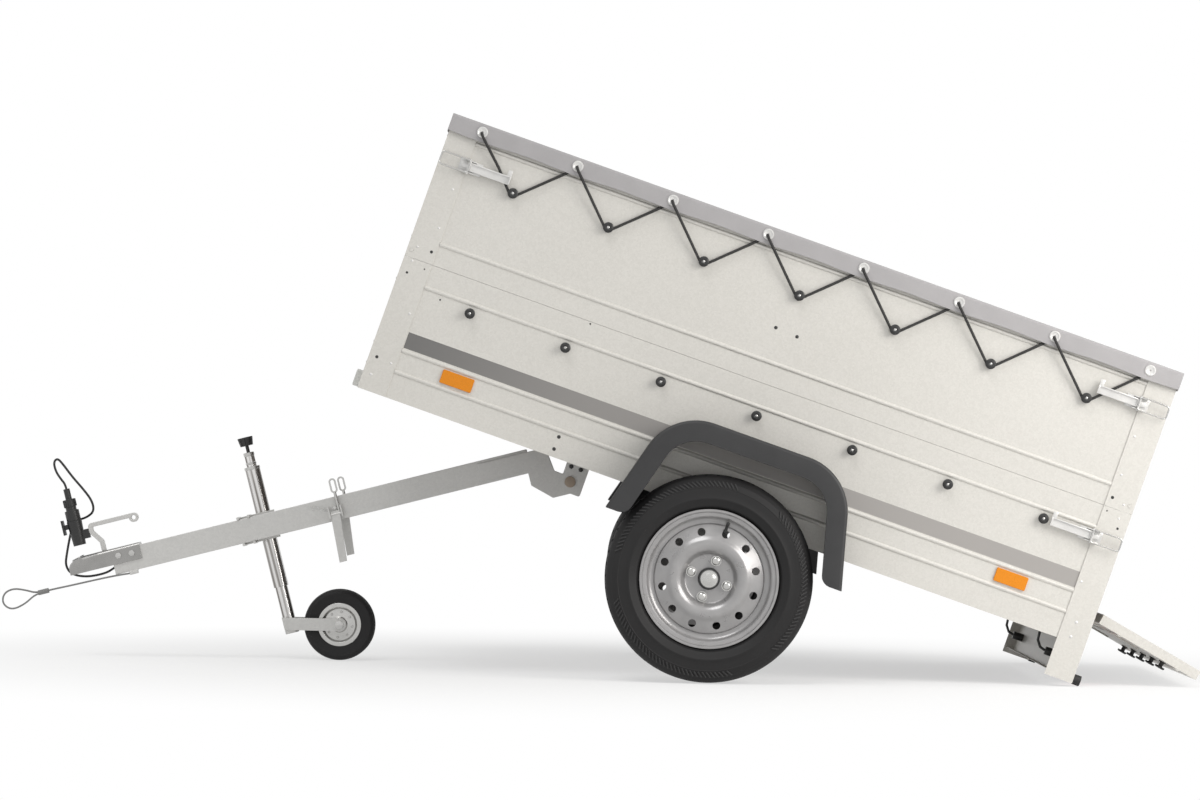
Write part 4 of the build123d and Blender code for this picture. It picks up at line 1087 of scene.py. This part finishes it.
def spotField(name, spots, out, height, slotName, finish=None):
    pieces = []
    for along, up, radius in spots:
        profile = [(0, height), (radius * 0.6, height * 0.85), (radius, height * 0.2),
                   (radius, spotFoot), (0, spotFoot)]
        for place in onSides(along, up, out):
            dot = lathe(name, profile, 14)
            dot.matrix_world = place
            pieces.append(dot)
    joined = joinUp(pieces)
    joined.name = name
    onBed(joined, slotName, finish)


spotField("postRivets", paleSpots, bed["postFace"], 0.0014, "bright_steel", paleMetal)
# black discs at the posts' holes: painted shade inside the holes
spotField("postHoleShade", holeShadeSpots, bed["postFace"], 0.0003, "black_plastic")
# black domes on the walls; two of them are painted shade in slots
spotField("wallBoltsAndSlotShade", wallSpots, bed["wallFace"], 0.0016, "black_plastic")
print("latches, knobs, eyelets and rivets set")

# Coupling: bolts through the cheeks and a pressed oval on the nose, with a dark disc of painted shade in its
# hollow
coupling = {"bolts": ((-1.275, 0.102), (-1.237, 0.100)), "cheek": 0.034, "nose": (-1.3905, 0, 0.1222),
            "noseTurn": -14, "noseShape": (1.25, 1, 0.95, 1)}
bolt = hexHead("couplingBolts", 0.0088, 0.0055, 0.0015)
places = []
for along, up in coupling["bolts"]:
    places += onSides(along, up, coupling["cheek"])
onBar(copies(bolt, places), "bright_steel")
nose = moved(*coupling["nose"]) @ turned(coupling["noseTurn"], "Y") @ turned(90, "X")
nose = nose @ Matrix.Diagonal(coupling["noseShape"])
oval = lathe("noseOval", [(0.0105, 0.0002), (0.0122, 0.0014), (0.0142, 0.0014), (0.0158, -0.0006),
                          (0.0105, -0.0012)], 40)
oval.matrix_world = nose
hollowShade = lathe("noseHollowShade", [(0, 0.0006), (0.0080, 0.0006), (0.0108, 0.0002), (0.0108, -0.0012),
                              (0, -0.0012)], 32)
hollowShade.matrix_world = nose
# painted shade: the oval's hollow is a dark disc
onBar(hollowShade, "hub_steel")
onBar(oval, "zinc_frame", shinyZinc)

# Plug: ridges round its nut
ridgeCount = 14
ridge = slab("plugRidges", (0.0162, -0.0012, 0.267), (0.0184, 0.0012, 0.287), 0.0005)
places = [moved(plugX, 0, 0) @ turned(360 * n / ridgeCount, "Z") for n in range(ridgeCount)]
onBar(copies(ridge, places), "black_plastic")

# Jockey wheel: finger grip, collars, axle nuts and rivets; a collar is low, high and radius
jockey = {"x": -0.862, "y": 0.059, "gripLow": 0.316, "gripHigh": 0.340, "gripRadii": (0.0160, 0.0200),
          "gripSides": 24, "gripRaised": 0.0022, "bore": 0.0138, "collarEdge": 0.001,
          "collars": ((0.247, 0.2555, 0.0224), (0.286, 0.2965, 0.0154), (0.262, 0.268, 0.0152)),
          "axle": (-0.727, -0.235), "nutFace": 0.0270, "rivets": 8, "rivetCircle": 0.036,
          "rivetFace": 0.0148}
tubeAxis = moved(jockey["x"], jockey["y"], 0) @ turned(90, "X")


def raisedSide(face):
    # two of every three sides of the grip
    normal = face.normal
    side = round(math.degrees(math.atan2(normal.y, normal.x)) / (360 / jockey["gripSides"]) - 0.5)
    return abs(normal.z) < 0.4 and side % 3 != 0


deselectAll()
gripMiddle = (jockey["gripLow"] + jockey["gripHigh"]) / 2
bpy.ops.mesh.primitive_cone_add(vertices=jockey["gripSides"], radius1=jockey["gripRadii"][0],
                                radius2=jockey["gripRadii"][1],
                                depth=jockey["gripHigh"] - jockey["gripLow"],
                                location=(jockey["x"], jockey["y"], gripMiddle))
grip = bpy.context.object
grip.name = "jockeyGripStar"
applyPlace()
edit(grip)
pick(grip, "FACE", raisedSide)
fatten(jockey["gripRaised"])
pickAll()
bevelPicked(0.0007, 1)
leaveEdit()
smooth(35)
stem = lathe("jockeyGripStem", [(0, 0.296), (0.005, 0.296), (0.005, 0.317), (0, 0.317)], 16)
stem.matrix_world = tubeAxis
onBar(joinUp([grip, stem]), "black_plastic", stoodFor=("jockey_grip",))
collars = []
for low, high, radius in jockey["collars"]:
    edge = jockey["collarEdge"]
    collar = lathe("jockeyCollars", [(jockey["bore"], low), (radius - edge, low), (radius, low + edge),
                                     (radius, high - edge), (radius - edge, high),
                                     (jockey["bore"], high)], 32)
    collar.matrix_world = tubeAxis
    collars.append(collar)
onBar(joinUp(collars), "bright_steel")
nut = hexHead("jockeyNuts", 0.0125, 0.0075, 0.0025)
axleX, axleZ = jockey["axle"]
near = moved(axleX, jockey["nutFace"], axleZ) @ turned(180, "Z")
far = moved(axleX, 2 * jockey["y"] - jockey["nutFace"], axleZ)
settle(copies(nut, [near, far]), barFrame, "jockey_fork", "bright_steel")
rivet = lathe("jockeyRivets", [(0, 0.0022), (0.0022, 0.0018), (0.0034, 0), (0, -0.0005)], 14)
places = []
for n in range(jockey["rivets"]):
    spot = onCircle(jockey["rivetCircle"], 360 * (n + 0.5) / jockey["rivets"])
    places += onSides(spot.x, spot.z, jockey["rivetFace"])
settle(copies(rivet, places), jockeyFrame, "jockey_wheel", "bright_steel")

# Bed catches: pivot nuts and a split pin
catches = {"left": -0.656, "right": -0.638, "height": 0.086, "face": 0.0345, "pinWire": 0.0022}
nut = hexHead("catchNuts", 0.0062, 0.0045, 0.001)
places = [onSides(catches["right"], catches["height"], catches["face"])[0],
          onSides(catches["left"], catches["height"], catches["face"])[1]]
onBar(copies(nut, places), "bright_steel")
pinLow = wire("splitPinLow", [(-0.676, -0.0405, 0.0815), (-0.694, -0.0415, 0.088),
                              (-0.719, -0.043, 0.096)], catches["pinWire"])
pinHigh = wire("splitPinHigh", [(-0.676, -0.0405, 0.0835), (-0.694, -0.0412, 0.094),
                                (-0.720, -0.042, 0.107)], catches["pinWire"])
onBar(joinUp([pinLow, pinHigh]), "bright_steel")

# Tipping bracket: brown bush over the bolt's head, and the bolts that hold the bracket
tipping = {"bush": (0.612, -0.054, 0.0495), "bolts": ((0.6006, -0.0125, 0.041), (0.6286, -0.0125, 0.041))}
bush = lathe("pivotBush", [(0, 0.0016), (0.0120, 0.0016), (0.0150, 0.0008), (0.0156, -0.0030),
                           (0, -0.0030)], 36)
onBed(copies(bush, onSides(*tipping["bush"])), "bright_steel", bushBrown)
bolt = hexHead("bracketBolts", 0.0068, 0.006, 0.0012)
places = [place for spot in tipping["bolts"] for place in onSides(*spot)]
onBed(copies(bolt, places), "black_plastic")

# Tail lamps: dark ribs between the lens's fields
lamp = {"face": bed["length"] - 0.008, "middle": 0.4317, "shifts": (-0.036, 0.036)}
rib = slab("lensRibs", (lamp["face"] - 0.002, -0.0012, -0.076), (lamp["face"] + 0.0006, 0.0012, -0.014),
           0.0004)
places = [moved(0, side * (lamp["middle"] + shift), 0) for side in (1, -1) for shift in lamp["shifts"]]
onBed(copies(rib, places), "black_plastic")
print("drawbar, jockey and lamp fittings set")
